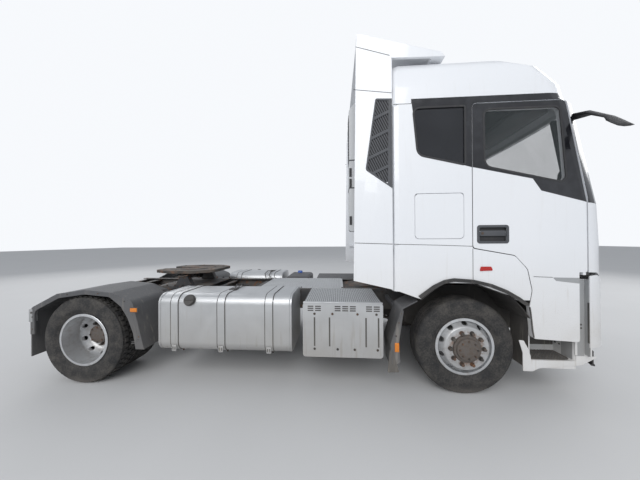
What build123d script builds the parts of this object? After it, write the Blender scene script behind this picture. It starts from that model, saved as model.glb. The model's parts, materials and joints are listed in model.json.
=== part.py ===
from build123d import *
from math import acos, ceil, cos, pi, radians, sin, tan
import os

# Lengths are in millimetres. While modelling, X is measured forward from the front axle,
# Y to the left from the middle of the truck and Z up from the ground.

# How far a flat side may lie inside the round form that it stands for
chord_depth = 1.2

# Wheels and axles
wheelbase = 4250
tyre_radius = 500
tyre_width = 290
bead_radius = 286
flange_radius = 300
rim_half = 112
flange_width = 14
barrel_wall = 14
disc_wall = 12
front_track = 2040
rear_track = 1850
twin_spacing = 335
hub_radius = 138
hub_flange_radius = 178
drum_radius = 205
hand_holes = 10
hand_hole_half = 27
hand_hole_rise = 17
hand_hole_circle = 249
wheel_sides = 30
kingpin_y = 846
kingpin_radius = 25
spindle_radius = 45
axle_end_radius = 60
running_gap = 0.05
seat_gap = 0.3
beam_drop = 120
beam_depth = 100
beam_width = 90
steering_arm = 180
tie_rod_z = 366
tie_rod_radius = 20
ball_pin_radius = 10
ball_eye_radius = 20
ball_pin_play = 3

# Frame
rail_outer = 430
rail_top = 960
rail_depth = 280
rail_flange = 80
rail_wall = 10
rail_front = 1150
rear_x = -wheelbase
rail_rear = rear_x - 600
spring_width = 84
spring_seat = 60
front_spring_y = 385
front_spring_half = 800
rear_spring_y = 500
rear_spring_half = 560

# Cab
cab_half = 1245
cab_reach = cab_half + 55
cab_wall = 45
cab_rear = -750
corner_radius = 250
rear_corner = 60
rear_wall_foot = 1095
nose_bulge = 45
corner_steps = 6
nose_steps = 3
floor_bottom = 1240
floor_wall = 45
roof_joint = 3032
firewall_x = 1230
firewall_wall = 40
bunk_z = 2140
door_wall = 50
door_rear = 40
door_front = 1108
door_hinge_x = 1085
door_hinge_y = cab_half - 11
door_pin_radius = 7
door_gap = 8
apron_bottom = 1012
flap_half = 960
flap_top = 1885
flap_wall = 30
hatch_x = (-530, -50)
hatch_z = (1640, 2100)
hatch_wall = 30
hatch_gap = 4
hatch_corner = 40
glass_wall = 6
glass_recess = 10
tilt_x = 1180
tilt_z = 1140
tilt_pin_radius = 30
tilt_lug_y = 480

# Bumper, steps and guards
bumper_top = 1000
wing_rear = 1130
bumper_wall = 10
bumper_proud = 12
bumper_seam_y = 640
lamp_depth = 50
step_depth = 250
step_rear = 606
step_front = 1050
guard_wall = 10

# Coupling
coupling_x = rear_x + 650
coupling_top = 1200
coupling_pivot_z = 1110
king_pin_radius = 25.5
plate_wall = 40
plate_half = 450

# Tanks and boxes on the frame
tank_outer = cab_half - 45
tank_depth = 620
tank_bottom = 390
tank_top = 1030
tank_corner = 110
tank_x = (rear_x + 900, -1830)
left_tank_x = (rear_x + 900, -2350)
strap_wall = 5
strap_width = 80
strap_gap = 0.3
box_x = (-1704, -854)
box_y = (rail_outer + 10, cab_half - 32)
box_z = (384, 963)

# One row for each height of the cab's outer shell, from the door's foot to the roof
cab_sections = [
    # height, nose, how far each side and the rear come in
    (560, 1360, 0, 0),
    (1560, 1360, 0, 0),
    (1960, 1340, 0, 0),
    (2990, 1106, 0, 0),
    (roof_joint, 1040, 0, 0),
    (3190, 1000, 7, 0),
    (3380, 830, 30, 5),
    (3490, 560, 95, 20),
    (3548, 120, 235, 60),
]


def fan(start, end):
    """Spokes that turn evenly from start to end, as many as the chord depth asks for."""
    sweep = radians(start.get_angle(end))
    steps = max(1, ceil(sweep / (2 * acos(1 - min(chord_depth / start.length, 0.5)))))
    spokes = []
    for i in range(steps + 1):
        part = i / steps
        spokes.append((start * sin((1 - part) * sweep) + end * sin(part * sweep)) / sin(sweep))
    return spokes


def outline(rows, plane):
    """A closed face from rows of two coordinates and a corner radius, round corners in flat steps."""
    points = [Vector(a, b) for a, b, r in rows]
    count = len(rows)
    corners = []
    for i in range(count):
        point = points[i]
        radius = rows[i][2]
        if radius == 0:
            corners.append(point)
            continue
        back = (points[i - 1] - point).normalized()
        ahead = (points[(i + 1) % count] - point).normalized()
        half = radians(back.get_angle(ahead) / 2)
        centre = point + (back + ahead).normalized() * (radius / sin(half))
        reach = radius / tan(half)
        start = point + back * reach - centre
        end = point + ahead * reach - centre
        corners += [centre + spoke for spoke in fan(start, end)]
    corners = [corner for i, corner in enumerate(corners) if (corner - corners[i - 1]).length > 0.001]
    return Face(Wire.make_polygon([plane.from_local_coords(corner) for corner in corners], close=True))


def side_prism(rows, y0, y1):
    """Rows of x, z and corner radius, drawn out along Y."""
    face = outline(rows, Plane.XZ)
    return Pos(0, y0, 0) * Solid.extrude(face, Vector(0, y1 - y0, 0))


def front_prism(rows, x0, x1):
    """Rows of y, z and corner radius, drawn out along X."""
    face = outline(rows, Plane.YZ)
    return Pos(x0, 0, 0) * Solid.extrude(face, Vector(x1 - x0, 0, 0))


def plan_prism(rows, z0, z1):
    """Rows of x, y and corner radius, drawn out along Z."""
    face = outline(rows, Plane.XY)
    return Pos(0, 0, z0) * Solid.extrude(face, Vector(0, 0, z1 - z0))


def block(x0, x1, y0, y1, z0, z1):
    middle = Pos((x0 + x1) / 2, (y0 + y1) / 2, (z0 + z1) / 2)
    return middle * Box(x1 - x0, y1 - y0, z1 - z0)


def soft_block(x0, x1, y0, y1, z0, z1, radius):
    """A block whose edges along Y are rounded."""
    rows = [(x0, z0, radius), (x1, z0, radius), (x1, z1, radius), (x0, z1, radius)]
    return side_prism(rows, y0, y1)


def bar(plane, radius, run, sides):
    """A bar from the plane along run: round, or with the given number of flat sides."""
    base = plane * (RegularPolygon(radius, sides) if sides else Circle(radius))
    return Solid.extrude(base.face(), run)


def bar_y(x, z, radius, y0, y1, sides=0):
    return bar(Plane(origin=(x, y0, z), z_dir=(0, 1, 0)), radius, Vector(0, y1 - y0, 0), sides)


def bar_x(y, z, radius, x0, x1, sides=0):
    return bar(Plane(origin=(x0, y, z), z_dir=(1, 0, 0)), radius, Vector(x1 - x0, 0, 0), sides)


def bar_z(x, y, radius, z0, z1, sides=0):
    return bar(Plane(origin=(x, y, z0)), radius, Vector(0, 0, z1 - z0), sides)


def bar_between(start, end, radius, sides=0):
    run = Vector(*end) - Vector(*start)
    return bar(Plane(origin=Vector(*start), z_dir=run), radius, run, sides)


def turned(rows, sides):
    """Rows of y and radius turned about the Y axis, in flat sides."""
    faces = []
    for i in range(len(rows)):
        y0, r0 = rows[i]
        y1, r1 = rows[(i + 1) % len(rows)]
        for k in range(sides):
            corners = []
            for y, radius, step in ((y0, r0, k), (y1, r1, k), (y1, r1, k + 1), (y0, r0, k + 1)):
                angle = 2 * pi * (step % sides) / sides
                corner = Vector(radius * sin(angle), y, radius * cos(angle))
                if all((corner - other).length > 0.001 for other in corners):
                    corners.append(corner)
            if len(corners) > 2:
                faces.append(Face(Wire.make_polygon(corners, close=True)))
    return outward(faces)


def flat_sided(sections):
    """A solid through sections of as many points each, with its sides in flat faces."""
    faces = [Face(Wire.make_polygon(section, close=True)) for section in (sections[0], sections[-1])]
    for low, high in zip(sections, sections[1:]):
        for i in range(len(low)):
            a, b, c, d = low[i - 1], low[i], high[i], high[i - 1]
            normal = (b - a).cross(c - a).normalized()
            if abs(normal.dot(d - a)) < 0.001:
                faces.append(Face(Wire.make_polygon([a, b, c, d], close=True)))
            else:
                faces.append(Face(Wire.make_polygon([a, b, c], close=True)))
                faces.append(Face(Wire.make_polygon([a, c, d], close=True)))
    return outward(faces)


def outward(faces):
    """A solid from faces that all point the same way, in or out."""
    made = Solid(Shell(faces))
    return made if made.volume > 0 else Solid(Shell([-face for face in faces]))


def other_side(shape):
    return mirror(shape, about=Plane.XZ)


def both_sides(shape):
    return Compound([shape, other_side(shape)])


def largest(shape):
    return max(shape.solids(), key=lambda solid: solid.volume)


nodes = {}


def add(name, *shapes):
    solids = []
    for shape in shapes:
        solids.extend(shape.solids())
    nodes[name] = Compound(solids)


def add_pair(name, shape):
    add(name + "_left", shape)
    add(name + "_right", other_side(shape))


# Tyres and wheels, made for the left side; each row is a distance from the rim's middle and a radius
tread_half = tyre_width / 2 - 45
shoulder_half = tyre_width / 2 - 23
tyre_seat = bead_radius + seat_gap
tyre_rows = [
    (-rim_half, tyre_seat), (-tyre_width / 2, 365), (-tyre_width / 2, 425), (-shoulder_half, 485),
    (-tread_half, tyre_radius), (tread_half, tyre_radius), (shoulder_half, 485), (tyre_width / 2, 425),
    (tyre_width / 2, 365), (rim_half, tyre_seat),
]
rim_edge = rim_half + flange_width
rim_inner = bead_radius - barrel_wall
disc_face = twin_spacing / 2
disc_back = disc_face - disc_wall
rim_rows = [
    # over the flanges from the outer edge to the inner edge
    (rim_edge, rim_inner), (rim_edge, flange_radius), (rim_half, bead_radius), (-rim_half, bead_radius),
    (-rim_edge, flange_radius), (-rim_edge, rim_inner),
]
dish_rows = [
    # the dished disc's hollow side, from the barrel to its mounting face
    (62, rim_inner), (disc_back - 24, 230), (disc_back, hub_flange_radius + 34),
]
crown_rows = [
    # the disc's other side, from its bore back to the barrel
    (disc_face, hub_flange_radius + 46), (disc_face - 20, 236), (92, rim_inner),
]


def placed(rows, middle, way=1):
    """Rows about a wheel's middle, turned to face the other way where way is -1."""
    return [(middle + way * y, radius) for y, radius in rows]


def hand_hole_cuts(middle, way):
    """Oval holes through the sloping part of the disc, spread round the wheel."""
    low, high = sorted((middle + way * 70, middle + way * (disc_face + 10)))
    half = hand_hole_half
    rise = hand_hole_rise
    rows = [(-half, 0, 0), (-half / 2, -rise, 0), (half / 2, -rise, 0)]
    rows += [(half, 0, 0), (half / 2, rise, 0), (-half / 2, rise, 0)]
    cutter = Pos(0, 0, hand_hole_circle) * side_prism(rows, low, high)
    return [Rot(0, 360 * i / hand_holes, 0) * cutter for i in range(hand_holes)]


front_y = front_track / 2
rear_y = rear_track / 2
front_wheel_rows = rim_rows + dish_rows + [
    (60, drum_radius), (-70, drum_radius), (-70, 0), (214, 0), (214, 60), (208, 112),
    (disc_face + 14, hub_radius), (disc_face, hub_radius),
] + crown_rows
front_wheel = turned(front_wheel_rows, wheel_sides)
for cutter in hand_hole_cuts(0, 1):
    front_wheel -= cutter
front_wheel -= bar_y(0, 0, spindle_radius, -80, 95)
at_front = Pos(0, front_y, tyre_radius)
tyre = turned(tyre_rows, wheel_sides)
add_pair("front_tyre", at_front * tyre)
add_pair("front_wheel", at_front * front_wheel)

outer_y = twin_spacing / 2
outer_rim = placed(rim_rows, outer_y, -1)
inner_rim = placed(rim_rows, -outer_y)
rear_wheel_rows = (
    inner_rim[:6] + placed(dish_rows[:2], -outer_y) + [
        (-disc_wall, hub_flange_radius + 30), (-60, drum_radius), (-220, drum_radius), (-220, 0), (134, 0),
        (134, 60), (128, 104), (disc_wall + 10, hub_radius), (disc_wall, hub_radius),
    ] + placed(dish_rows[::-1], outer_y, -1) + outer_rim[::-1]
    + placed(crown_rows[:0:-1], outer_y, -1) + placed(crown_rows[1:], -outer_y)
)
rear_wheel = turned(rear_wheel_rows, wheel_sides)
for cutter in hand_hole_cuts(outer_y, -1) + hand_hole_cuts(-outer_y, 1):
    rear_wheel -= cutter
rear_wheel -= bar_y(0, 0, axle_end_radius, -230, 20)
at_rear = Pos(rear_x, rear_y, tyre_radius)
add_pair("rear_tyres", at_rear * Compound([Pos(0, outer_y, 0) * tyre, Pos(0, -outer_y, 0) * tyre]))
add_pair("rear_wheel", at_rear * rear_wheel)

# Front axle, knuckles and tie rod
beam_z = tyre_radius - beam_drop
eye_half = 55
eye_low = tyre_radius - eye_half + 5
eye_top = tyre_radius + eye_half - 5
beam_rows = [
    (-640, beam_z - beam_depth / 2, 30), (640, beam_z - beam_depth / 2, 30),
    (kingpin_y - 76, eye_low, 0), (kingpin_y - 40, eye_low, 0), (kingpin_y - 40, eye_top, 0),
    (kingpin_y - 90, eye_top, 30), (670, beam_z + beam_depth / 2, 30),
    (-670, beam_z + beam_depth / 2, 30), (90 - kingpin_y, eye_top, 30),
    (40 - kingpin_y, eye_top, 0), (40 - kingpin_y, eye_low, 0), (76 - kingpin_y, eye_low, 0),
]
front_axle = front_prism(beam_rows, -beam_width / 2, beam_width / 2)
for x0, x1 in ((-beam_width / 2, -12), (12, beam_width / 2)):
    front_axle -= block(x0, x1, -600, 600, beam_z - beam_depth / 2 + 18, beam_z + beam_depth / 2 - 18)
kingpin_bore = kingpin_radius + running_gap
for y in (kingpin_y, -kingpin_y):
    front_axle += bar_z(0, y, 48, tyre_radius - eye_half, tyre_radius + eye_half, 14)
    front_axle -= bar_z(0, y, kingpin_bore, tyre_radius - 2 * eye_half, tyre_radius + 2 * eye_half)
add("front_axle", front_axle)

lug_gap = 1
lug_wall = 46
lug_low = tyre_radius - eye_half - lug_gap - lug_wall
lug_high = tyre_radius + eye_half + lug_gap
knuckle = bar_z(0, kingpin_y, kingpin_radius, lug_low, lug_high + lug_wall)
for z in (lug_low, lug_high):
    knuckle += bar_z(0, kingpin_y, 46, z, z + lug_wall, 14)
    knuckle += block(-40, 40, kingpin_y, 936, z, z + lug_wall)
knuckle += bar_y(0, tyre_radius, 110, 912, 936, 16)
knuckle += bar_y(0, tyre_radius, spindle_radius - running_gap, 936, front_y + 94)
knuckle += bar_y(0, tyre_radius, 180, 930, 942, 20)
arm_rows = [(20, kingpin_y - 40, 0), (20, kingpin_y + 40, 0), (-steering_arm, kingpin_y + 24, 22),
            (-steering_arm - 22, kingpin_y, 22), (-steering_arm, kingpin_y - 24, 22)]
knuckle += plan_prism(arm_rows, lug_low, lug_low + 26)
knuckle += bar_z(-steering_arm, kingpin_y, ball_pin_radius, tie_rod_z - 18, lug_low + 10)
add_pair("knuckle", knuckle)

rod_half = kingpin_y - ball_eye_radius + 3
tie_rod = bar_y(-steering_arm, tie_rod_z, tie_rod_radius, -rod_half, rod_half, 12)
for side, gap in ((1, running_gap), (-1, ball_pin_play)):
    tie_rod += bar_z(-steering_arm, side * kingpin_y, ball_eye_radius, tie_rod_z - 18, tie_rod_z + 18, 16)
    tie_rod -= bar_z(-steering_arm, side * kingpin_y, ball_pin_radius + gap, tie_rod_z - 30, tie_rod_z + 30)
add("tie_rod", tie_rod)

# Frame rails with the spring hangers fused to them
rail_bottom = rail_top - rail_depth
rail_rows = [
    (rail_outer, rail_bottom, 8), (rail_outer, rail_top, 8), (rail_outer - rail_flange, rail_top, 0),
    (rail_outer - rail_flange, rail_top - rail_wall, 0), (rail_outer - rail_wall, rail_top - rail_wall, 0),
    (rail_outer - rail_wall, rail_bottom + rail_wall, 0),
    (rail_outer - rail_flange, rail_bottom + rail_wall, 0), (rail_outer - rail_flange, rail_bottom, 0),
]
eye_radius = 26
pin_radius = 14
front_eye_z = 600
rear_eye_z = 770
rail = front_prism(rail_rows, rail_rear, rail_front)


def hanger(x, y, eye_z, top):
    """Two cheeks and a roof over one spring eye, with the pin through both."""
    half = spring_width / 2
    roof = block(x - 45, x + 45, y - half - 14, y + half + 14, top - 20, top)
    for cheek in (y - half - 14, y + half + 2):
        roof += block(x - 35, x + 35, cheek, cheek + 12, eye_z - 32, top)
    return roof + bar_y(x, eye_z, pin_radius, y - half - 14, y + half + 14, 8)


for x in (-front_spring_half, front_spring_half):
    rail += hanger(x, front_spring_y, front_eye_z, rail_bottom + 2)
for x in (rear_x - rear_spring_half, rear_x + rear_spring_half):
    if x > rail_rear:
        rail += hanger(x, rear_spring_y, rear_eye_z, rear_eye_z + 60)
    rail += block(x - 45, x + 45, rail_outer - 2, rear_spring_y, rear_eye_z + 40, rear_eye_z + 60)
add("frame_rails", both_sides(rail))


def leaf_spring(x, y, half, eye_z, low_z, high_z):
    """A pack of leaves, each shorter than the one above, in one stepped outline with an eye at each end."""
    leaf = (high_z - low_z) / 4
    def height(reach):
        return (eye_z - high_z) * (reach / half) ** 2
    top = [(half * part, high_z + height(half * part), 0) for part in (0, 0.25, 0.5, 0.75, 1)]
    under = []
    for i, part in enumerate((1, 0.8, 0.6, 0.4)):
        reach = half * part
        following = half * (part - 0.2) if i < 3 else 0
        under.append((reach, high_z + height(reach) - leaf * (i + 1), 0))
        under.append((following, high_z + height(following) - leaf * (i + 1), 0))
    right = top + under[:-1] + [(spring_seat, low_z, 0)]
    left = [(-a, b, c) for a, b, c in right[:0:-1]]
    pack = side_prism(right + left, 0, spring_width)
    for end in (-half, half):
        pack += bar_y(end, eye_z, eye_radius, 0, spring_width, 14)
        pack -= bar_y(end, eye_z, pin_radius + strap_gap, -10, spring_width + 10, 16)
    return Pos(x, y - spring_width / 2, 0) * pack


front_low = beam_z + beam_depth / 2
front_spring = leaf_spring(0, front_spring_y, front_spring_half, front_eye_z, front_low, front_low + 84)
axle_tube_radius = 75
rear_low = tyre_radius + axle_tube_radius + 15
rear_spring = leaf_spring(rear_x, rear_spring_y, rear_spring_half, rear_eye_z, rear_low, rear_low + 96)
add("leaf_springs", both_sides(front_spring), both_sides(rear_spring))

# Rear axle with its drive housing and shaft
drum_back = rear_y - 226
axle_rows = [
    (-drum_back, 0), (-drum_back, 170), (-drum_back + 12, 170), (-drum_back + 12, axle_tube_radius),
    (-320, axle_tube_radius), (-190, 150), (190, 150), (320, axle_tube_radius),
    (drum_back - 12, axle_tube_radius), (drum_back - 12, 170), (drum_back, 170), (drum_back, 0),
]
axle_round = axle_end_radius - running_gap
rear_axle = Pos(rear_x, 0, tyre_radius) * turned(axle_rows, 20)
for low, high in ((-rear_y - 18, 5 - drum_back), (drum_back - 5, rear_y + 18)):
    rear_axle += bar_y(rear_x, tyre_radius, axle_round, low, high)
drive_rows = [(-130, 0), (-130, 120), (-90, 215), (70, 215), (150, 130), (330, 85), (350, 60), (350, 0)]
rear_axle += Pos(rear_x, 0, tyre_radius) * (Rot(0, 0, -90) * turned(drive_rows, 20))
for side in (1, -1):
    y = side * rear_spring_y
    rear_axle += block(rear_x - 70, rear_x + 70, y - 44, y + 44, tyre_radius, rear_low - strap_gap)

# Engine and gearbox, one plain mass, and the shaft to the rear axle
engine_rear = -520
engine_rows = [
    (740, 620, 40), (740, 1180, 40), (engine_rear, 1180, 40), (engine_rear - 160, 1020, 40),
    (-1430, 900, 30), (-1430, 640, 30), (engine_rear - 160, 560, 40), (-120, 560, 60), (160, 600, 60),
]
engine = side_prism(engine_rows, -300, 300)
shaft_start = (-1435, 0, 760)
shaft_end = (rear_x + 340, 0, tyre_radius)
add("rear_axle", rear_axle + bar_between(shaft_start, shaft_end, 42, 12))
web_y = rail_outer - rail_wall
rail_inner = rail_outer - rail_flange - seat_gap
radiator = block(980, 1080, -rail_inner, rail_inner, 560, 1190) + block(900, 981, -300, 300, 620, 1130)
add("engine", engine, radiator)

# Cross members between the rails, and the blocks that carry the engine
member_rows = [
    # a channel that opens forward
    (0, 0, 0), (70, 0, 0), (70, 10, 0), (10, 10, 0), (10, 130, 0), (70, 130, 0), (70, 140, 0), (0, 140, 0),
]
member_z = rail_bottom + 115
members = []
for x in (-1760, -2560, rear_x + 1100, rear_x + 200, rear_x - 350, rail_rear):
    members.append(Pos(x, 0, member_z) * side_prism(member_rows, -web_y, web_y))
nose_member = block(rail_front - 50, rail_front, -web_y, web_y, rail_bottom + rail_wall, rail_bottom + 160)
tow_x = rail_front + 120
tow_radius = 22
tow_z = rail_bottom + 70
nose_member += bar_x(0, tow_z, 48, rail_front - 10, tow_x, 16)
nose_member -= bar_x(0, tow_z, tow_radius, tow_x - 100, tow_x + 10)
members.append(nose_member)
for side in (1, -1):
    low, high = sorted((side * 300, side * web_y))
    members.append(block(100, 200, low, high, 860, 930))
    members.append(block(-1150, -1060, low, high, 720, 790))


# Cab shell volumes
def cab_volume(inset):
    """The cab's outer form, or the same form brought in by the inset on every side."""
    sections = []
    for height, nose, side_tuck, rear_tuck in cab_sections:
        z = height - inset if height == cab_sections[-1][0] else height
        side = cab_half - side_tuck
        rear = cab_rear + rear_tuck
        left = []
        for i in range(3):
            angle = pi / 2 * i / 2
            turn = max(rear_corner - inset, 6)
            left.append((rear + inset + turn - turn * cos(angle), side - inset - turn + turn * sin(angle)))
        for i in range(corner_steps + 1):
            angle = pi / 2 * i / corner_steps
            turn = corner_radius - inset
            left.append((nose - corner_radius + turn * sin(angle), side - corner_radius + turn * cos(angle)))
        flat = side - corner_radius
        bulge = nose_bulge * flat / (cab_half - corner_radius)
        for i in range(1, nose_steps + 1):
            y = flat * (1 - i / nose_steps)
            left.append((nose - inset + bulge * (1 - (y / flat) ** 2), y))
        right = [(x, -y) for x, y in left[-2::-1]]
        sections.append([Vector(x, y, z) for x, y in left + right])
    return flat_sided(sections)


cab_outer = cab_volume(0)
cab_inner = cab_volume(cab_wall)
cab_shell = cab_outer - cab_inner


def door_outline(grow):
    """The whole door seen from the side, larger by grow on every edge."""
    return [
        (door_rear - grow, 1545 - grow, 30), (440, 1470 - grow, 60), (560 - grow, 1330, 60),
        (602 - grow, 1120, 60), (574 - grow, 960, 40), (604 - grow, 640 - grow, 30), (1035 + grow, 615 - grow, 20),
        (1035 + grow, 1300 - grow, 0), (door_front + grow, 1300 - grow, 20), (door_front + grow, 1990, 30),
        (925 + grow, 3000 + grow, 40), (door_rear - grow, 3000 + grow, 40),
    ]


pane_rows = [(155, 2430, 60), (175, 2360, 80), (930, 2180, 60), (870, 2940, 60), (150, 2940, 60)]
quarter_rows = [(-500, 2500, 90), (-30, 2385, 20), (-30, 2985, 20), (-545, 2985, 60)]

door_volume = cab_outer - cab_volume(door_wall)
door_body = door_volume & side_prism(door_outline(0), 0, cab_half + 10)
door_body -= side_prism(pane_rows, 0, cab_half + 10)
handle_rows = [(90, 1600, 20), (370, 1600, 20), (370, 1760, 20), (90, 1760, 20)]
handle_recess = side_prism(handle_rows, cab_half - 22, cab_half + 10)
door_body -= handle_recess
cover_rows = [(105, 1665, 10), (355, 1665, 10), (355, 1715, 10), (105, 1715, 10)]
door_body += side_prism(cover_rows, cab_half - 30, cab_half - 4)
door_body -= bar_z(door_hinge_x, door_hinge_y, door_pin_radius + running_gap, 1280, 1341)
add_pair("door", largest(door_body))

glass_shell = cab_volume(glass_recess) - cab_volume(glass_recess + glass_wall)
door_glass = glass_shell & side_prism(pane_rows, 0, cab_half + 10)
add_pair("door_glass", door_glass)

# Side walls of the cab behind the doors, with the wheel arch
arch_rows = [
    (-480, 1020, 20), (-260, 1190, 60), (60, 1186, 200), (430, 1050, 100), (620, 800, 20), (700, 400, 0),
    (-480, 400, 0),
]
side_rows = [
    (cab_rear + rear_corner, rear_wall_foot, 0), (-480, 1020, 0), (620, 1020, 0), (620, 1200, 0), (500, 1700, 0),
    (500, 2960, 0), (928, 2985, 0), (935, roof_joint, 0), (cab_rear + rear_corner, roof_joint, 0),
]
cab_side = cab_shell & side_prism(side_rows, 0, cab_half + 10)
cab_side -= side_prism(arch_rows, 0, cab_half + 10)
cab_side -= side_prism(door_outline(door_gap), cab_half - 200, cab_half + 10)
cab_side -= side_prism(quarter_rows, 0, cab_half + 10)


def hatch_hole(grow, upper=hatch_corner):
    """The locker's lid or its hole, with the corner radius at its upper edge."""
    x0, x1 = hatch_x[0] - grow, hatch_x[1] + grow
    z0, z1 = hatch_z[0] - grow, hatch_z[1] + grow
    return [(x0, z0, hatch_corner), (x1, z0, hatch_corner), (x1, z1, upper), (x0, z1, upper)]


lid_seat = side_prism(hatch_hole(hatch_gap, hatch_corner - 12), cab_half - hatch_wall - seat_gap, cab_half + 10)
cab_side -= lid_seat
cab_side -= side_prism(hatch_hole(-25), 0, cab_half + 10)
add_pair("cab_side", largest(cab_side))
lid_hinge_radius = 6
lid_hinge_y = cab_half - lid_hinge_radius
lid_hinge_z = hatch_z[1] - lid_hinge_radius
lid = side_prism(hatch_hole(0), cab_half - hatch_wall, cab_half)
lid_ends = (hatch_x[0] + 45, hatch_x[1] - 45)
lid -= block(*lid_ends, lid_hinge_y, cab_half + 5, lid_hinge_z, hatch_z[1] + 5)
lid += bar_x(lid_hinge_y, lid_hinge_z, lid_hinge_radius, *lid_ends)
lid_inner = cab_half - hatch_wall
chamfer_rows = [
    (lid_inner - 1, hatch_z[1] - 9, 0), (lid_inner + 9, hatch_z[1] + 1, 0), (lid_inner - 1, hatch_z[1] + 1, 0),
]
lid -= front_prism(chamfer_rows, hatch_x[0], hatch_x[1])
add_pair("locker_lid", lid)

# Dark trim round the front wheel arch, on the cab's side
trim_rows = [
    # down the arch's lip from the front, then back over the trim's outer edge
    (560, 972, 0), (520, 974, 0), (454, 1023, 60), (341, 1091, 60), (198, 1150, 60), (39, 1189, 60),
    (-150, 1203, 60), (-238, 1187, 60), (-337, 1136, 60), (-482, 1027, 0), (-504, 1053, 0),
    (-357, 1164, 60), (-248, 1219, 60), (-152, 1237, 60), (42, 1223, 60), (209, 1183, 60), (358, 1121, 60),
    (476, 1050, 60), (552, 992, 0),
]
trim_wall = 17
arch_trim = side_prism(trim_rows, cab_half + seat_gap, cab_half + trim_wall)
add("arch_trims", both_sides(arch_trim))

# Rear wall, roof and floor
rear_block = block(cab_rear - 10, cab_rear + rear_corner, -cab_reach, cab_reach, rear_wall_foot, roof_joint)
rear_wall = cab_shell & rear_block
add("cab_rear_wall", rear_wall)
cab_roof = cab_shell & block(-1000, 1500, -cab_reach, cab_reach, roof_joint, 4000)
add("cab_roof", cab_roof)

floor_half = cab_half - cab_wall
floor_top = floor_bottom + floor_wall
tunnel_top = floor_bottom + 130
cab_floor = block(cab_rear + rear_corner, 560, -floor_half, floor_half, floor_bottom, floor_top)
cab_floor += block(560, firewall_x, 50 - floor_half, floor_half - 50, floor_bottom, floor_top)
cab_floor += block(cab_rear + rear_corner, 700, -420, 420, floor_top, tunnel_top)
lug_rows = [
    (tilt_x - 60, floor_bottom + 5, 0), (tilt_x - 50, tilt_z - 30, 30), (tilt_x + 40, tilt_z - 38, 36),
    (tilt_x + 40, floor_bottom + 5, 0),
]
for side in (1, -1):
    low, high = sorted((side * tilt_lug_y, side * (tilt_lug_y + 30)))
    cab_floor += side_prism(lug_rows, low, high)
    low, high = sorted((side * (tilt_lug_y - 66), side * (tilt_lug_y + 10)))
    cab_floor += bar_y(tilt_x, tilt_z, tilt_pin_radius, low, high)
add("cab_floor", cab_floor)

# Front of the cab: corners, pillars and the wall behind the service flap
front_rows = [
    (door_front + 15, 1300, 0), (1210, 1298, 40), (1290, 1255, 60), (1310, 1180, 40), (1312, apron_bottom, 0),
    (1500, apron_bottom, 0), (1500, roof_joint, 0), (943, roof_joint, 0), (door_front + 15, 2040, 0),
]
screen_rows = [(-1120, 2010, 80), (1120, 2010, 80), (1050, 2950, 80), (-1050, 2950, 80)]
cab_front = cab_shell & side_prism(front_rows, -cab_reach, cab_reach)
cab_front -= front_prism(screen_rows, 600, 1500)
flap_rows = [
    (-flap_half, apron_bottom, 20), (flap_half, apron_bottom, 20), (flap_half, flap_top, 40),
    (-flap_half, flap_top, 40),
]
hole_half = flap_half + 6
hole_top = flap_top + 8
flap_hole = [(-hole_half, 900, 0), (hole_half, 900, 0), (hole_half, hole_top, 40), (-hole_half, hole_top, 40)]
cab_front -= front_prism(flap_hole, 1200, 1500)
wall_half = cab_half - 185
cab_front += block(firewall_x, firewall_x + firewall_wall, -wall_half, wall_half, floor_bottom, 1975)
cab_front += block(firewall_x, 1345, -wall_half, wall_half, flap_top + 10, flap_top + 40)
for side in (1, -1):
    y = side * 500
    pad = block(firewall_x + 10, 1450, y - 30, y + 30, flap_top - 60, flap_top - 20)
    cab_front += pad & cab_volume(flap_wall + seat_gap)
    low, high = sorted((side * (door_hinge_y - 34), side * (door_hinge_y + 9)))
    cab_front += block(door_hinge_x - 16, wing_rear - 4, low, high, 1274, 1300 - seat_gap)
    cab_front += block(door_front + 15, wing_rear - 4, low, high, 1274, 1340)
    cab_front += bar_z(door_hinge_x, side * door_hinge_y, door_pin_radius, 1290, 1340)
add("cab_front", cab_front)
flap = (cab_outer - cab_volume(flap_wall)) & front_prism(flap_rows, 1250, 1500)
add("front_flap", flap)

windscreen = glass_shell & front_prism(screen_rows, 600, 1500)
quarter_glass = glass_shell & side_prism(quarter_rows, 0, cab_half + 10)
add("cab_glass", windscreen, both_sides(quarter_glass))

# Roof deflector and the side fairings behind the cab
fairing_rear = -1160
fairing_wall = 30
deflector_rows = [
    (-200, 3530, 0), (-240, 3580, 0), (-1108, 3830, 10), (-1120, 3665, 0), (-770, 3545, 0),
]
deflector = side_prism(deflector_rows, 40 - cab_half, cab_half - 40)
hollow_rows = [(-330, 3480, 0), (-330, 3572, 0), (-1300, 3852, 0), (-1300, 3480, 0)]
deflector -= side_prism(hollow_rows, 70 - cab_half, cab_half - 70)
deflector -= cab_volume(-seat_gap)
add("roof_deflector", deflector)

fairing_rows = [
    (cab_rear - 6, 1115, 0), (cab_rear - 6, 3500, 0), (-775, 3540, 0), (-1122, 3655, 0),
    (fairing_rear, 1205, 0),
]
vent_rows = [(-925, 3100, 20), (-780, 3090, 20), (-790, 2200, 30), (-1030, 2360, 30)]
side_fairing = side_prism(fairing_rows, cab_half - fairing_wall, cab_half)
side_fairing -= side_prism(vent_rows, cab_half - 12, cab_half + 10)
fairing_inner = cab_half - fairing_wall
for z in (1500, 2150, 3200):
    side_fairing += block(-1080, cab_rear - seat_gap, fairing_inner - 40, fairing_inner + 2, z, z + 40)
add("side_fairings", both_sides(side_fairing))

snorkel_rows = [
    (-1190, 1730, 20), (cab_rear - seat_gap, 1730, 0), (cab_rear - seat_gap, 3180, 0), (-1120, 3180, 10),
    (-1190, 3090, 10),
]
add("air_intake", side_prism(snorkel_rows, -1060, -820))

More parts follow.
